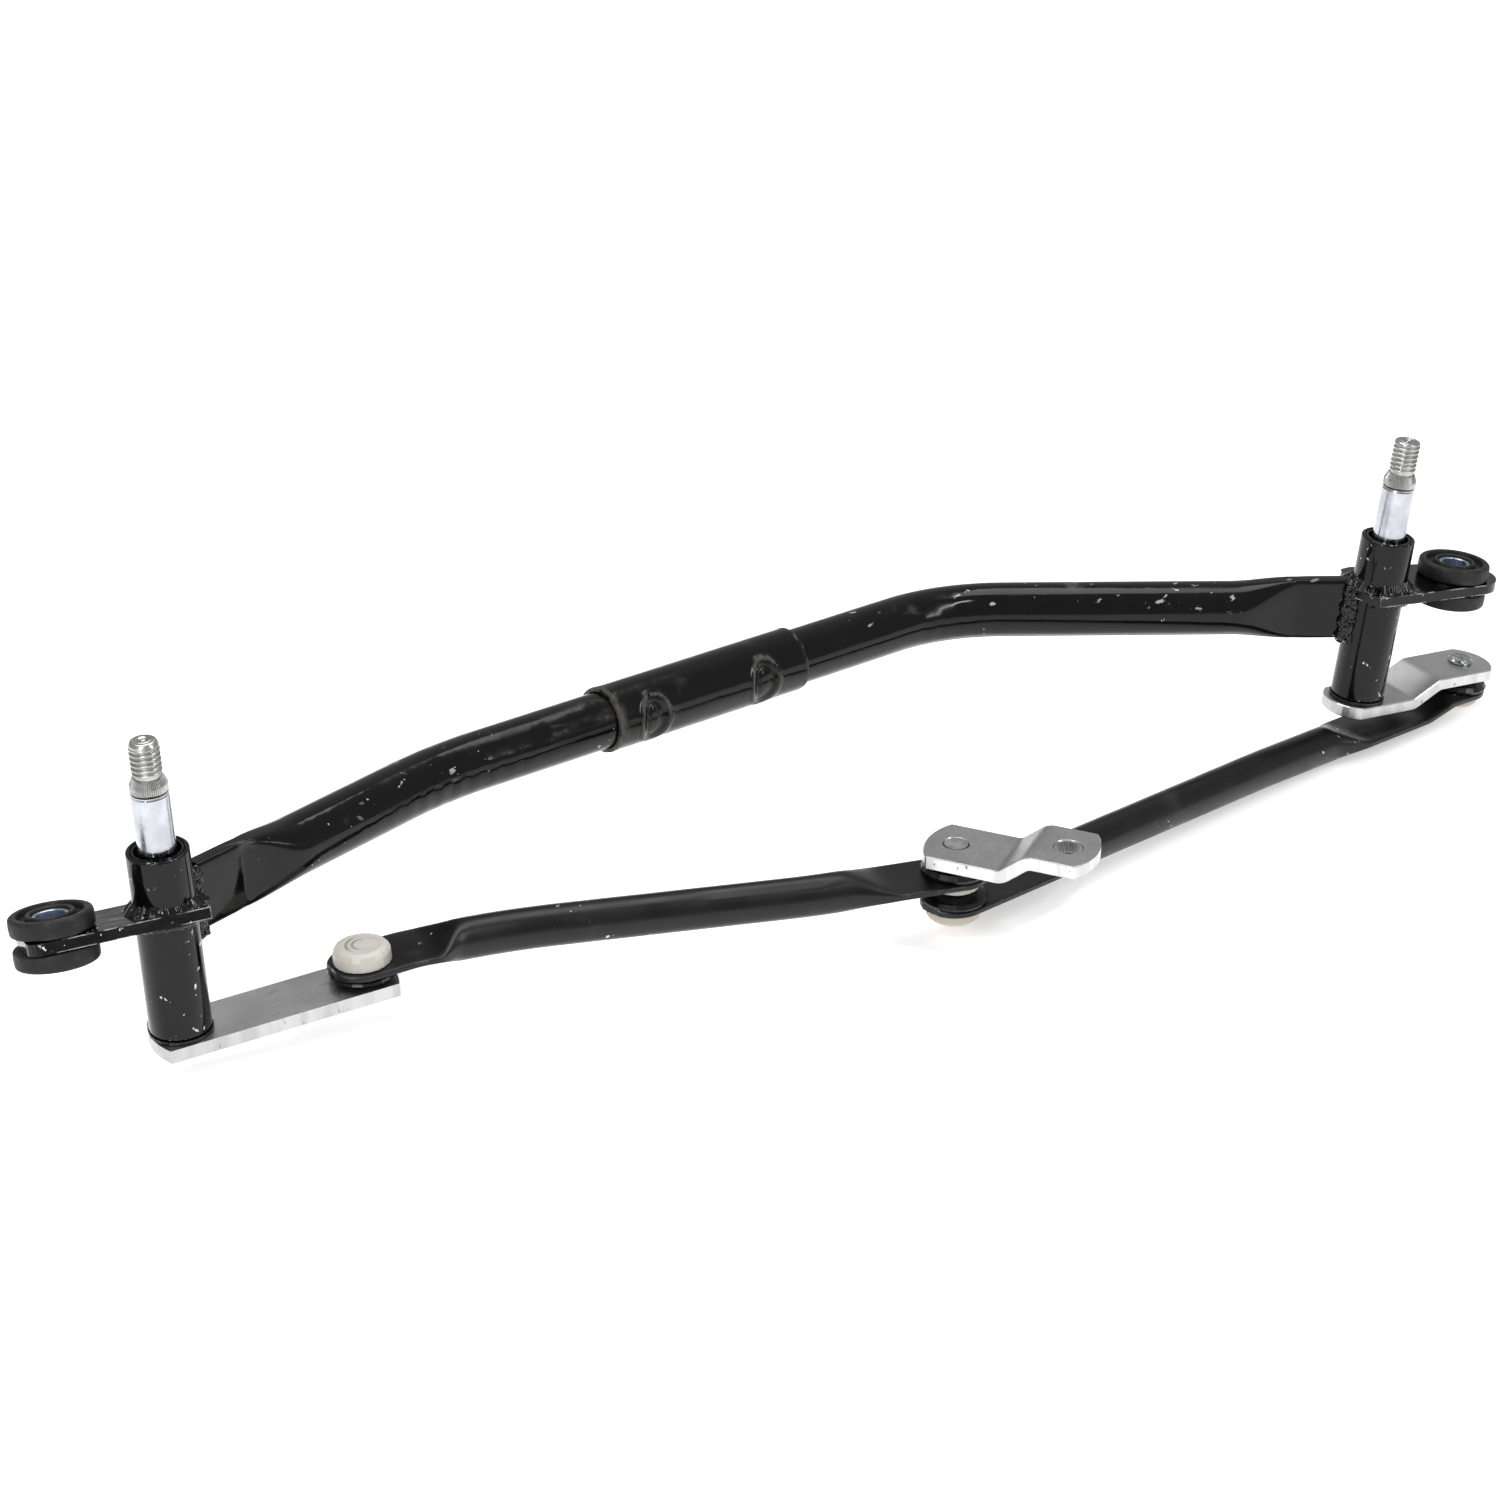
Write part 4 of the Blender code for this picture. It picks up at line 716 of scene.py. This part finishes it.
def frame_tube(side, path):
    """A tube with a pressed blade, a crease where the blade starts, a seam and bend wrinkles."""
    axis = joint_axis(side + "_wiper_pivot")
    bend_distance, bend_reach, inner_angle = TUBE_BENDS[side]
    total = path_length(path)
    blend_end = BLADE_END + BLADE_BLEND
    fine = int((blend_end - TUBE_FINE_START) / TUBE_FINE_STEP) + 1
    first = blend_end + 0.003
    steps = int((total - first) / TUBE_STEP)
    distances = list(TUBE_FIRST_RINGS)
    distances += [TUBE_FINE_START + TUBE_FINE_STEP * i for i in range(fine)]
    distances += [first + (total - first) * i / steps for i in range(steps + 1)]
    rows = []
    for distance in distances:
        centre, along = point_along(path, distance)
        share = ease((distance - BLADE_END) / BLADE_BLEND)
        crease = bump_at(distance, BLADE_END + CREASE_PLACE, CREASE_WIDTH)
        half_height = BLADE_HEIGHT / 2 * (1 - share) + TUBE_RADIUS * share
        half_width = BLADE_THICKNESS / 2 * (1 - share) + TUBE_RADIUS * share
        half_width *= 1 - CREASE_DEPTH * crease
        ring_up = axis.lerp(UP, ease(distance / blend_end))
        in_bend = bump_at(distance, bend_distance, bend_reach)

        def relief(angle, distance=distance, in_bend=in_bend, share=share):
            from_inner = angle_gap(angle, inner_angle)
            fold = sin(distance * tau / WRINKLE_PITCH) * WRINKLE_DEPTH
            fold *= in_bend * bump_at(from_inner, 0, 0.55)
            flattening = BEND_FLATTENING * in_bend * bump_at(from_inner, 0, 0.8)
            line = SEAM_DEPTH * share * bump_at(angle_gap(angle, SEAM_ANGLES[side]), 0, 0.045)
            return 1 + fold - flattening - line

        ring = section_ring(centre, along, ring_up, half_width, half_height, 1 - share, TUBE_SIDES, relief)
        rows.append([PIVOT + point for point in ring])
    bore = TUBE_RADIUS - TUBE_WALL
    for distance in (total, total - TUBE_MOUTH_DEPTH):
        centre, along = point_along(path, distance)
        ring = section_ring(centre, along, UP, bore, bore, 0, TUBE_SIDES)
        rows.append([PIVOT + point for point in ring])
    tube = add_piece("painted_tube_" + side, rows, "frame", "frame")
    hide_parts("frame_tube_" + side)


def sleeve_surface(z, angle, facing):
    """Return the sleeve's radius and wear at a point: stake dents with a tongue, and rough ends."""
    radius = SLEEVE_RADIUS
    worn = 0.0
    across = angle_gap(angle, facing) * SLEEVE_RADIUS
    for place in DENT_PLACES:
        far = hypot((z - place) / DENT_HALF_LENGTH, across / DENT_HALF_WIDTH)
        tongue = hypot((z - place + TONGUE_SHIFT) / TONGUE_HALF_LENGTH, across / TONGUE_HALF_WIDTH)
        radius -= DENT_DEPTH * (1 - ease((far - 0.60) / 0.40))
        radius += DENT_RIM * bump_at(far, 1.10, 0.10)
        radius += TONGUE_HEIGHT * (1 - ease((tongue - 0.80) / 0.30))
        worn = max(worn, bump_at(far, 1.03, 0.09), 0.40 * bump_at(tongue, 1.0, 0.12))
    reach, end_wear = RAGGED_ENDS[0 if z < 0 else 1]
    ragged = bump_at(SLEEVE_LENGTH / 2 - abs(z), 0, reach)
    lumps = noise.noise(Vector((cos(angle) * 3, sin(angle) * 3, z * 900)))
    return radius + RAGGED_DEPTH * lumps * ragged, max(worn, ragged * end_wear)


def centre_sleeve():
    """The sleeve with two oval stake dents on the near side and rough ends."""
    along = (FRAME_BEND_RIGHT - FRAME_BEND_LEFT).normalized()
    matrix = axes_matrix(box_middle("centre_sleeve"), along, UP)
    half = SLEEVE_LENGTH / 2
    inner = TUBE_RADIUS + GAP
    front = matrix.to_3x3().inverted() @ SLEEVE_FRONT.normalized()
    facing = atan2(front.y, front.x)
    angles = [tau * j / SLEEVE_SIDES for j in range(SLEEVE_SIDES)]
    rows = []
    wear = []
    for i in range(SLEEVE_STEPS + 1):
        z = -half + SLEEVE_LENGTH * i / SLEEVE_STEPS
        surface = [sleeve_surface(z, angle, facing) for angle in angles]
        rows.append([around(radius, angle, z) for (radius, _), angle in zip(surface, angles)])
        wear += [worn for _, worn in surface]
    for z in (half, -half):
        rows.append([around(inner, angle, z) for angle in angles])
        wear += [1.0] * SLEEVE_SIDES
    sleeve = add_piece("staked_sleeve", rows, "worn_sleeve", "frame", matrix, cyclic_rows=True)
    sleeve.data.attributes.new("wear", "FLOAT", "POINT").data.foreach_set("value", wear)
    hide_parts("centre_sleeve")


# ---- pivots ----
def pivot_matrix(side):
    """Return a pivot's frame, with local X towards its lever's ball."""
    place, axis = pivot_line(side)
    return axes_matrix(place, axis, joint_place(side + "_rod_pivot") - place)


def housing(side):
    """The housing with soft rims."""
    profile = soft_corner(HOUSING_RADIUS, HOUSING_LENGTH, RIM_RADIUS)
    profile += [(HOUSING_RADIUS, HOUSING_LENGTH * share) for share in (0.75, 0.5, 0.25)]
    profile += soft_corner(HOUSING_RADIUS, HOUSING_BOTTOM, RIM_RADIUS, upper=False)
    profile += [
        (HOUSING_BORE, HOUSING_BOTTOM),
        (HOUSING_BORE, HOUSING_LENGTH - MOUTH_DEPTH),
        (MOUTH_BORE, HOUSING_LENGTH - MOUTH_DEPTH),
        (MOUTH_BORE, HOUSING_LENGTH - 0.0002),
        (MOUTH_BORE + 0.0002, HOUSING_LENGTH),
    ]
    piece = lathe("painted_housing_" + side, profile, pivot_matrix(side), "housing",
                  "frame", ring=True)
    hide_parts("pivot_housing_" + side)


def shaft(side, dome):
    """The shaft: bright shank, knurl, relief, cut thread and a tip with a turned centre."""
    top = HOUSING_LENGTH + SHAFT_STAND
    knurl_bottom = HOUSING_LENGTH + KNURL_START
    knurl_top = knurl_bottom + KNURL_LENGTH
    foot = LEVER_TOP - LEVER_THICKNESS - GAP
    matrix = pivot_matrix(side)
    body = side + "_lever"
    shank = [(CORE_RADIUS, knurl_bottom), (0.0061, knurl_bottom),
             (SHAFT_RADIUS - 0.0002, knurl_bottom - 0.0006), (SHAFT_RADIUS, knurl_bottom - 0.0009),
             (SHAFT_RADIUS, knurl_bottom - 0.0010), (SHAFT_RADIUS, HOUSING_LENGTH),
             (SHAFT_RADIUS, WASHER_BOTTOM), (SPIGOT_RADIUS, WASHER_BOTTOM), (SPIGOT_RADIUS, foot),
             (0.0068, foot), (0.0070, foot - 0.0003), (0.0068, foot - 0.0008),
             (0.0060, foot - 0.0010), (0.0002, foot - 0.0010)]
    lower = lathe("zinc_shank_" + side, shank, matrix, "zinc", body)

    cone_foot = knurl_top - CONE_HEIGHT
    knurl_rows = [(CORE_RADIUS, knurl_top + 0.0001), (0.0052, knurl_top - 0.0001), (0.00605, cone_foot)]
    knurl_rows += [(KNURL_RADIUS, cone_foot - 0.0004 - 0.0004 * i) for i in range(6)]
    knurl_rows += [(0.0060, knurl_bottom + 0.0004), (CORE_RADIUS, knurl_bottom + 0.0001)]

    def knurl_relief(angle, radius, height):
        if radius < 0.0052:
            return radius, height
        return radius - KNURL_DEPTH * (0.5 - 0.5 * cos(angle * KNURL_TEETH)), height

    knurl = lathe("knurl_" + side, knurl_rows, matrix, "knurl", body, KNURL_SIDES, False,
                  knurl_relief)

    thread_bottom = knurl_top + THREAD_RELIEF
    thread_top = top - dome - 0.0004
    count = int((thread_top - thread_bottom) / THREAD_PITCH * 12)
    thread_rows = [(CORE_RADIUS, knurl_top), (CORE_RADIUS, thread_bottom)]
    thread_rows += [(THREAD_RADIUS, thread_bottom + (thread_top - thread_bottom) * i / count)
                    for i in range(1, count)]
    tip = [(0.0047, thread_top + 0.0002), (0.0043, top - 0.45 * dome), (0.0034, top - 0.15 * dome),
           (0.0031, top - 0.0003), (0.0028, top - 0.00005), (0.0016, top), (0.0013, top - 0.0004),
           (0.0009, top - 0.0004), (0.0007, top - 0.0001), (0.0001, top - 0.0001)]

    def thread_relief(angle, radius, height):
        if radius < THREAD_RADIUS:
            return radius, height
        turns = (height / THREAD_PITCH - angle / tau) % 1
        valley = (0.5 + 0.5 * cos(tau * turns)) ** 1.6
        fade = ease((height - thread_bottom) / 0.0010) * ease((thread_top - height) / 0.0010)
        return radius - THREAD_DEPTH * valley * fade - 0.0002 * (1 - fade), height

    thread = lathe("thread_" + side, (thread_rows + tip)[::-1], matrix, "thread", body,
                   relief=thread_relief, smooth_angle=70)
    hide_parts("pivot_shaft_" + side)


def cut_hole(piece, matrix, radius):
    """Cut a round hole through a piece, about a matrix's local Z."""
    rows = [[around(radius, tau * i / 64, z) for i in range(64)] for z in (-0.006, 0.006)]
    cutter = new_object("hole_cutter", grid_mesh("hole_cutter", rows, False), matrix)
    modifier = piece.modifiers.new("hole", "BOOLEAN")
    modifier.operation = "DIFFERENCE"
    modifier.solver = "EXACT"
    modifier.object = cutter
    bpy.context.view_layer.update()
    depsgraph = bpy.context.evaluated_depsgraph_get()
    mesh = bpy.data.meshes.new_from_object(piece.evaluated_get(depsgraph))
    piece.modifiers.clear()
    old = piece.data
    piece.data = mesh
    bpy.data.meshes.remove(old)
    bpy.data.objects.remove(cutter, do_unlink=True)


def circlip(side):
    """The black retaining ring in the housing's mouth: open, with two lugs with tool holes."""
    matrix = pivot_matrix(side)
    front = matrix.to_3x3().inverted() @ CIRCLIP_FRONT
    gap_angle = atan2(front.y, front.x)
    bottom = HOUSING_LENGTH - MOUTH_DEPTH + GAP
    top = bottom + CIRCLIP_THICKNESS
    outer = MOUTH_BORE - 0.0004
    rows = []
    for i in range(CIRCLIP_STEPS + 1):
        turn = CIRCLIP_HALF_GAP + (tau - 2 * CIRCLIP_HALF_GAP) * i / CIRCLIP_STEPS
        lug = max(bump_at(turn, LUG_ANGLE, 0.16), bump_at(tau - turn, LUG_ANGLE, 0.16))
        inner = CIRCLIP_BORE - 0.0010 * min(1, 1.25 * lug)
        rows.append([around(radius, gap_angle + turn, height)
                     for radius, height in ((outer, top), (outer, bottom), (inner, bottom), (inner, top))])
    ring = add_piece("circlip_" + side, rows, "housing", "frame", matrix)
    for sign in (-1, 1):
        spot = matrix @ Vector(around(CIRCLIP_BORE - 0.00005, gap_angle + sign * LUG_ANGLE, top))
        cut_hole(ring, axes_matrix(spot, joint_axis(side + "_wiper_pivot"), AHEAD), LUG_HOLE)
    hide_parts("retaining_ring_" + side)


def lumpy_bead(name, path, radius, seed):
    """A weld bead along a path, with the ripples and lumps of a hand weld."""
    total = path_length(path)
    count = max(12, int(total / BEAD_STEP))
    rows = []
    for i in range(count + 1):
        distance = total * i / count
        centre, along = point_along(path, min(distance, total - 0.00001))
        ripple = 0.12 * sin(distance * tau / RIPPLE_PITCH + seed)
        swell = 0.30 * noise.noise(Vector((distance * 320, seed, 0)))
        taper = min(1, 0.35 + ease(distance / BEAD_TAPER))
        taper *= min(1, 0.35 + ease((total - distance) / BEAD_TAPER))
        side = along.cross(UP if abs(along.z) < 0.8 else AHEAD).normalized()
        upward = side.cross(along).normalized()
        row = []
        for j in range(BEAD_SIDES):
            angle = tau * j / BEAD_SIDES
            spot = Vector((distance * 700, cos(angle) * 2, sin(angle) * 2 + seed))
            size = radius * (1 + ripple + swell + 0.18 * noise.noise(spot)) * taper
            row.append(centre + (side * cos(angle) + upward * sin(angle)) * size)
        rows.append(row)
    bead = add_piece(name, rows, "weld", "frame", smooth_angle=80)


def tab_welds(side):
    """The fillet on top of the mounting tab and the bead under it, round the housing."""
    pivot, axis = pivot_line(side)
    normal = seat_axis(side)
    centre = pivot + axis * TAB_HEIGHTS[side]
    outward = box_middle("grommet_" + side) - centre
    outward = (outward - outward.dot(normal) * normal).normalized()
    across = normal.cross(outward)

    def spoke_at(angle):
        spoke = outward * cos(angle) + across * sin(angle)
        return spoke, HOUSING_RADIUS / (spoke - spoke.dot(axis) * axis).length

    rows = []
    for i in range(FILLET_STEPS):
        angle = tau * i / FILLET_STEPS
        spoke, wall = spoke_at(angle)
        room = TAB_HALF_WIDTHS[side] / max(0.2, abs(sin(angle))) - wall
        lump = noise.noise(Vector((4.0 * cos(angle), 4.0 * sin(angle), 2.0)))
        ridge = noise.noise(Vector((13.0 * cos(angle), 13.0 * sin(angle), 7.0)))
        reach = min(room - 0.0002, FILLET_REACH + 0.0016 * lump + 0.0016 * ridge)
        height = FILLET_HEIGHT + 0.0012 * lump + 0.0010 * ridge
        row = []
        for share in (0.0, 0.12, 0.28, 0.45, 0.62, 0.80, 1.0):
            rise = height * (1 - share) ** 1.9 + 0.0006 * sin(pi * share) * (1 + 2 * ridge)
            row.append(centre + spoke * (wall - 0.0002 + reach * share) + normal * (rise + 0.0001))
        row.append(centre + spoke * (wall + reach) - normal * GAP)
        row.append(centre + spoke * (wall - 0.0004) - normal * GAP)
        rows.append(row)
    fillet = add_piece("weld_tab_upper_" + side, rows, "weld", "frame", None, True, 80)
    points = []
    for i in range(41):
        spoke, wall = spoke_at(radians(-150 + 300 * i / 40))
        points.append(centre + spoke * (wall + 0.0004) - normal * (TAB_THICKNESS + 0.0004))
    lumpy_bead("weld_tab_lower_" + side, points, TAB_BEAD_RADIUS, 4.1)


def blade_welds(side, path):
    """The upright beads that join the tube's blade to the housing, two on each face."""
    pivot, axis = pivot_line(side)
    start, along = point_along(path, 0.0125)
    flat = (along - along.dot(axis) * axis).normalized()
    sideways = axis.cross(flat)
    level = (PIVOT + start - pivot).dot(axis)
    low = level - BLADE_HEIGHT / 2 - 0.0010
    high = level + BLADE_HEIGHT / 2 + 0.0008
    for sign, face in ((-1, "near"), (1, "far")):
        for place, out, size, seed in BLADE_BEADS:
            points = []
            for i in range(13):
                weave = 0.0005 * sin(i * 2.1 + seed)
                spot = flat * (out + weave) + sideways * sign * (BLADE_THICKNESS / 2 + 0.0004)
                points.append(pivot + axis * (low + (high - low) * i / 12) + spot)
            name = "weld_blade_%s_%s_%s" % (face, place, side)
            lumpy_bead(name, points, BLADE_BEAD_RADII[side] * size, seed + sign)


# ---- grommets ----
def grommet(side):
    """The grommet with rounded lips and a ring groove, and its zinc sleeve."""
    matrix = axes_matrix(box_middle("grommet_" + side), seat_axis(side), AHEAD)
    groove = GROMMET_GROOVE / 2
    top = groove + GROMMET_FLANGE
    inner, outer = RING_GROOVE
    profile = [(0.0112, top - 0.0001), (0.0114, top)]
    profile += soft_corner(GROMMET_RADIUS, top, LIP_RADIUS)
    profile += [(GROMMET_RADIUS + 0.0001, groove + 0.0030)]
    profile += arc(GROMMET_RADIUS - 0.0008, groove + 0.0008, 0.0008, 0, -90, 4)
    profile += [(GROMMET_NECK, groove), (GROMMET_NECK, -groove)]
    profile += soft_corner(GROMMET_RADIUS, -groove, 0.0008)
    profile += [(GROMMET_RADIUS + 0.0001, -groove - 0.0030)]
    profile += soft_corner(GROMMET_RADIUS, -top, LIP_RADIUS, upper=False)
    profile += [(0.0066, -top), (0.0065, -top + 0.0001), (0.0065, top - 0.0004), (0.0069, top)]
    profile += [(0.0078, top), (inner - 0.0002, top - 0.0004), (inner, top - RING_GROOVE_DEPTH),
                (outer, top - RING_GROOVE_DEPTH), (outer + 0.0002, top - 0.0008)]
    piece = lathe("rubber_grommet_" + side, profile, matrix, "rubber", "frame", ring=True)
    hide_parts("grommet_" + side)
    radius = SPACER_RADIUS
    bore = SPACER_BORE
    rim = top - 0.0008
    ring = [(bore + 0.0003, rim), (radius - 0.0003, rim), (radius, rim - 0.0003), (radius, -top + 0.0003),
            (radius - 0.0003, -top), (bore + 0.0002, -top), (bore, -top + 0.0002), (bore, rim - 0.0003)]
    steel = lathe("spacer_sleeve_" + side, ring, matrix, "sleeve", "frame", ring=True)
    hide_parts("grommet_sleeve_" + side)


# ---- tie rods ----
def tie_rod(side, path, first_up, ends, channel_reach, eyes):
    """A rod with flat eyes, pinched transitions and, on the left, a long shallow channel."""
    first_flat, first_round, last_flat, last_round = ends
    channel_start, channel_end = channel_reach
    total = path_length(path)
    tip = [EYE_HALF_WIDTH * (sin(radians(a)) - 1) for a in range(4, 88, 6)]
    count = int(total / ROD_STEP)
    distances = tip + [total * i / count for i in range(count + 1)] + [total - t for t in reversed(tip)]
    rows = []
    for distance in distances:
        inside = max(0, min(total, distance))
        centre, along = point_along(path, min(inside, total - 0.00001))
        centre = centre + along * (distance - inside)
        near = min(distance, total - distance)
        flat, full = (first_flat, first_round) if distance < total / 2 else (last_flat, last_round)
        share = ease((near - flat) / (full - flat))
        half_width = FLAT_HALF_WIDTH * (1 - share) + ROD_RADIUS * share
        half_height = EYE_THICKNESS / 2 * (1 - share) + ROD_RADIUS * share
        if near < 0:
            chord = sqrt(max(0, EYE_HALF_WIDTH ** 2 - near ** 2))
            half_width = chord * FLAT_HALF_WIDTH / EYE_HALF_WIDTH
        ring_up = first_up.lerp(UP, ease((distance - 0.014) / 0.020))
        pinch = PINCH_DEPTH * bump_at(distance, PINCH_PLACES[side], PINCH_REACH)
        channel = CHANNEL_DEPTH * ease((distance - channel_start) / CHANNEL_EASE)
        channel *= ease((channel_end - distance) / CHANNEL_EASE)

        def relief(angle, pinch=pinch, channel=channel):
            top = bump_at(angle_gap(angle, pi / 2), 0, 0.42)
            near_side = bump_at(angle_gap(angle, radians(118)), 0, 0.30)
            return 1 - pinch * top - channel * near_side

        ring = section_ring(centre, along, ring_up, half_width, half_height, 1 - share, ROD_SIDES, relief)
        rows.append([PIVOT + point for point in ring])
    rod = add_piece("painted_rod_" + side, rows, "rod", side + "_rod")
    for place, up, radius in eyes:
        cut_hole(rod, axes_matrix(PIVOT + place, up, AHEAD), radius)
    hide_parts("tie_rod_" + side)


def rods():
    """Both rods, with the routes of the part."""
    left_ball = joint_place("left_rod_pivot") - PIVOT
    right_ball = joint_place("right_rod_pivot") - PIVOT
    left_axis = joint_axis("left_wiper_pivot")
    right_axis = joint_axis("right_wiper_pivot")
    crank = joint_place("crank_spin") - PIVOT
    upper_ball = crank + UP * UPPER_BALL_HEIGHT
    lower_ball = crank + UP * LOWER_BALL_HEIGHT
    leave = ROD_BEND_OUTER - left_ball
    leave.z = 0
    leave = (leave.normalized() - leave.normalized().dot(left_axis) * left_axis).normalized()
    left_path = rounded_path([left_ball, left_ball + leave * LEFT_ROD_STRAIGHT, ROD_BEND_OUTER,
                              ROD_BEND_INNER, upper_ball],
                             [LEFT_ROD_START_RADIUS, ROD_BEND_RADIUS_OUTER, ROD_BEND_RADIUS_INNER],
                             PATH_STEP)
    length = path_length(left_path)
    tie_rod("left", left_path, left_axis, ROD_ENDS_LEFT, [length - reach for reach in CHANNEL_LEFT],
            ((left_ball, left_axis, EYE_HOLE), (upper_ball, UP, EYE_HOLE)))
    back = (lower_ball - right_ball).normalized()
    back_flat = (back - back.dot(right_axis) * right_axis).normalized()
    first_bend, second_bend = RIGHT_ROD_BENDS
    right_path = rounded_path([right_ball, right_ball + back_flat * RIGHT_ROD_STRAIGHT,
                               right_ball + back * first_bend + UP * RIGHT_ROD_DIP,
                               right_ball + back * second_bend, lower_ball], RIGHT_ROD_RADII, PATH_STEP)
    tie_rod("right", right_path, right_axis, ROD_ENDS_RIGHT, (0, 0),
            ((right_ball, right_axis, EYE_HOLE), (lower_ball, UP, OPEN_EYE_HOLE)))


# ---- small marks on the levers and the crank ----
def serrated_ring():
    """The fine teeth in the crank's tapered hole."""
    heading = Vector((cos(CRANK_HEADING), sin(CRANK_HEADING), 0))
    place = joint_place("crank_spin") + heading * CRANK_LENGTH
    top = CRANK_EYE_TOP - 0.0005
    bottom = CRANK_EYE_TOP - CRANK_THICKNESS + 0.0002

    def relief(angle, radius, height):
        if radius > CRANK_HOLE_TOP - 0.0002:
            return radius, height
        return radius + TOOTH_DEPTH * cos(angle * CRANK_TEETH), height

    profile = [(CRANK_HOLE_TOP - 0.00005, top), (CRANK_HOLE_BOTTOM - 0.00015, bottom),
               (CRANK_HOLE_BOTTOM - 0.00060, bottom), (CRANK_HOLE_TOP - 0.00050, top)]
    ring = lathe("crank_teeth", profile, axes_matrix(place, UP, heading), "rivet",
                 "crank", sides=400, ring=True, relief=relief)


def star_rivet():
    """The star-marked rivet head on the right lever."""
    matrix = pivot_matrix("right")
    ball = matrix.inverted() @ joint_place("right_rod_pivot")
    top = LEVER_TOP + LEVER_RISE + GAP + 0.0015
    matrix = matrix @ Matrix.Translation((ball.x, ball.y, 0))

    def relief(angle, radius, height):
        if height < top:
            return radius, height
        groove = bump_at(sin(angle * 3), 0, 0.22) * ease(radius / 0.0012)
        return radius, height - STAR_DEPTH * groove

    profile = [(0.0001, top + 0.0006)] + [(0.0005 * i, top + 0.0006) for i in range(1, 8)]
    profile += [(0.0040, top + 0.0003), (0.0043, top - 0.0001), (0.0001, top - 0.0001)]
    head = lathe("rivet_star", profile, matrix, "rivet", "right_lever", 144, relief=relief)


# ---- the rest ----
def paint_nodes():
    """Give the part's own solids, where their shape is already right, their detailed materials."""
    looks = {"crank_arm": "crank", "crank_stud": "rivet"}
    for side, end, cap in (("left", "upper", "white_nylon"), ("right", "lower", "beige_nylon")):
        looks["pivot_lever_" + side] = "lever_" + side
        for place in (side + "_lever", "crank_" + end):
            looks["socket_" + place] = cap
            looks["boot_" + place] = "boot"
        for stem, look in (("mounting_tab_", "tab"), ("ball_stud_", "zinc"), ("thrust_washer_", "boot"),
                           ("shaft_seal_", "rubber"), ("bushing_upper_", "bronze"),
                           ("bushing_lower_", "bronze")):
            looks[stem + side] = look
    for node, look in looks.items():
        for slot in NODES[node].material_slots:
            slot.material = MATERIALS[look]


def studio():
    """The floor, the soft lights and the world."""
    half = FLOOR_HALF
    mesh = bpy.data.meshes.new("floor")
    mesh.from_pydata([(-half, -half, 0), (half, -half, 0), (half, half, 0), (-half, half, 0)], [],
                     [(0, 1, 2, 3)])
    pale = Paint("pale_floor", (0.95, 0.95, 0.95), 0.8)
    fill(pale.shader, {"Emission Color": (1, 1, 1, 1), "Emission Strength": FLOOR_GLOW})
    mesh.materials.append(pale.material)
    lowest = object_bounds()[0][2]
    floor = new_object("floor", mesh)
    floor.location = (0, 0, lowest - FLOOR_GAP)
    floor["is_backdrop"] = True
    world = bpy.data.worlds.new("studio")
    world.use_nodes = True
    fill(world.node_tree.nodes["Background"], {"Color": (1, 1, 1, 1), "Strength": WORLD_LIGHT})
    SCENE.world = world
    SCENE.view_settings.view_transform = "Standard"
    for name, offset, size, power in LIGHTS:
        data = bpy.data.lights.new(name, "AREA")
        data.shape = "RECTANGLE"
        data.size, data.size_y = size
        data.energy = power
        light = new_object(name, data)
        light.location = LIGHT_TARGET + offset
        light.rotation_euler = (-offset).to_track_quat("-Z", "Y").to_euler()


def camera():
    """The camera, which looks down on the linkage from the front left."""
    forward = Vector((sin(CAMERA_HEADING) * cos(CAMERA_DROP),
                      cos(CAMERA_HEADING) * cos(CAMERA_DROP), -sin(CAMERA_DROP)))
    level = forward.cross(UP).normalized()
    upward = level.cross(forward)
    right = level * cos(CAMERA_ROLL) + upward * sin(CAMERA_ROLL)
    top = right.cross(forward)
    matrix = Matrix((right, top, -forward)).transposed().to_4x4()
    matrix.translation = PIVOT + CAMERA_PLACE
    data = bpy.data.cameras.new("camera")
    data.lens = CAMERA_LENS
    data.sensor_width = 36
    data.clip_start = 0.05
    SCENE.camera = new_object("camera", data, matrix)


paint_nodes()
tube_paths = frame_paths()
for pivot_side, tube_path in tube_paths.items():
    frame_tube(pivot_side, tube_path)
centre_sleeve()
for pivot_side, tube_path in tube_paths.items():
    housing(pivot_side)
    shaft(pivot_side, TIP_DOMES[pivot_side])
    circlip(pivot_side)
    grommet(pivot_side)
    tab_welds(pivot_side)
    blade_welds(pivot_side, tube_path)
rods()
serrated_ring()
star_rivet()
studio()
camera()
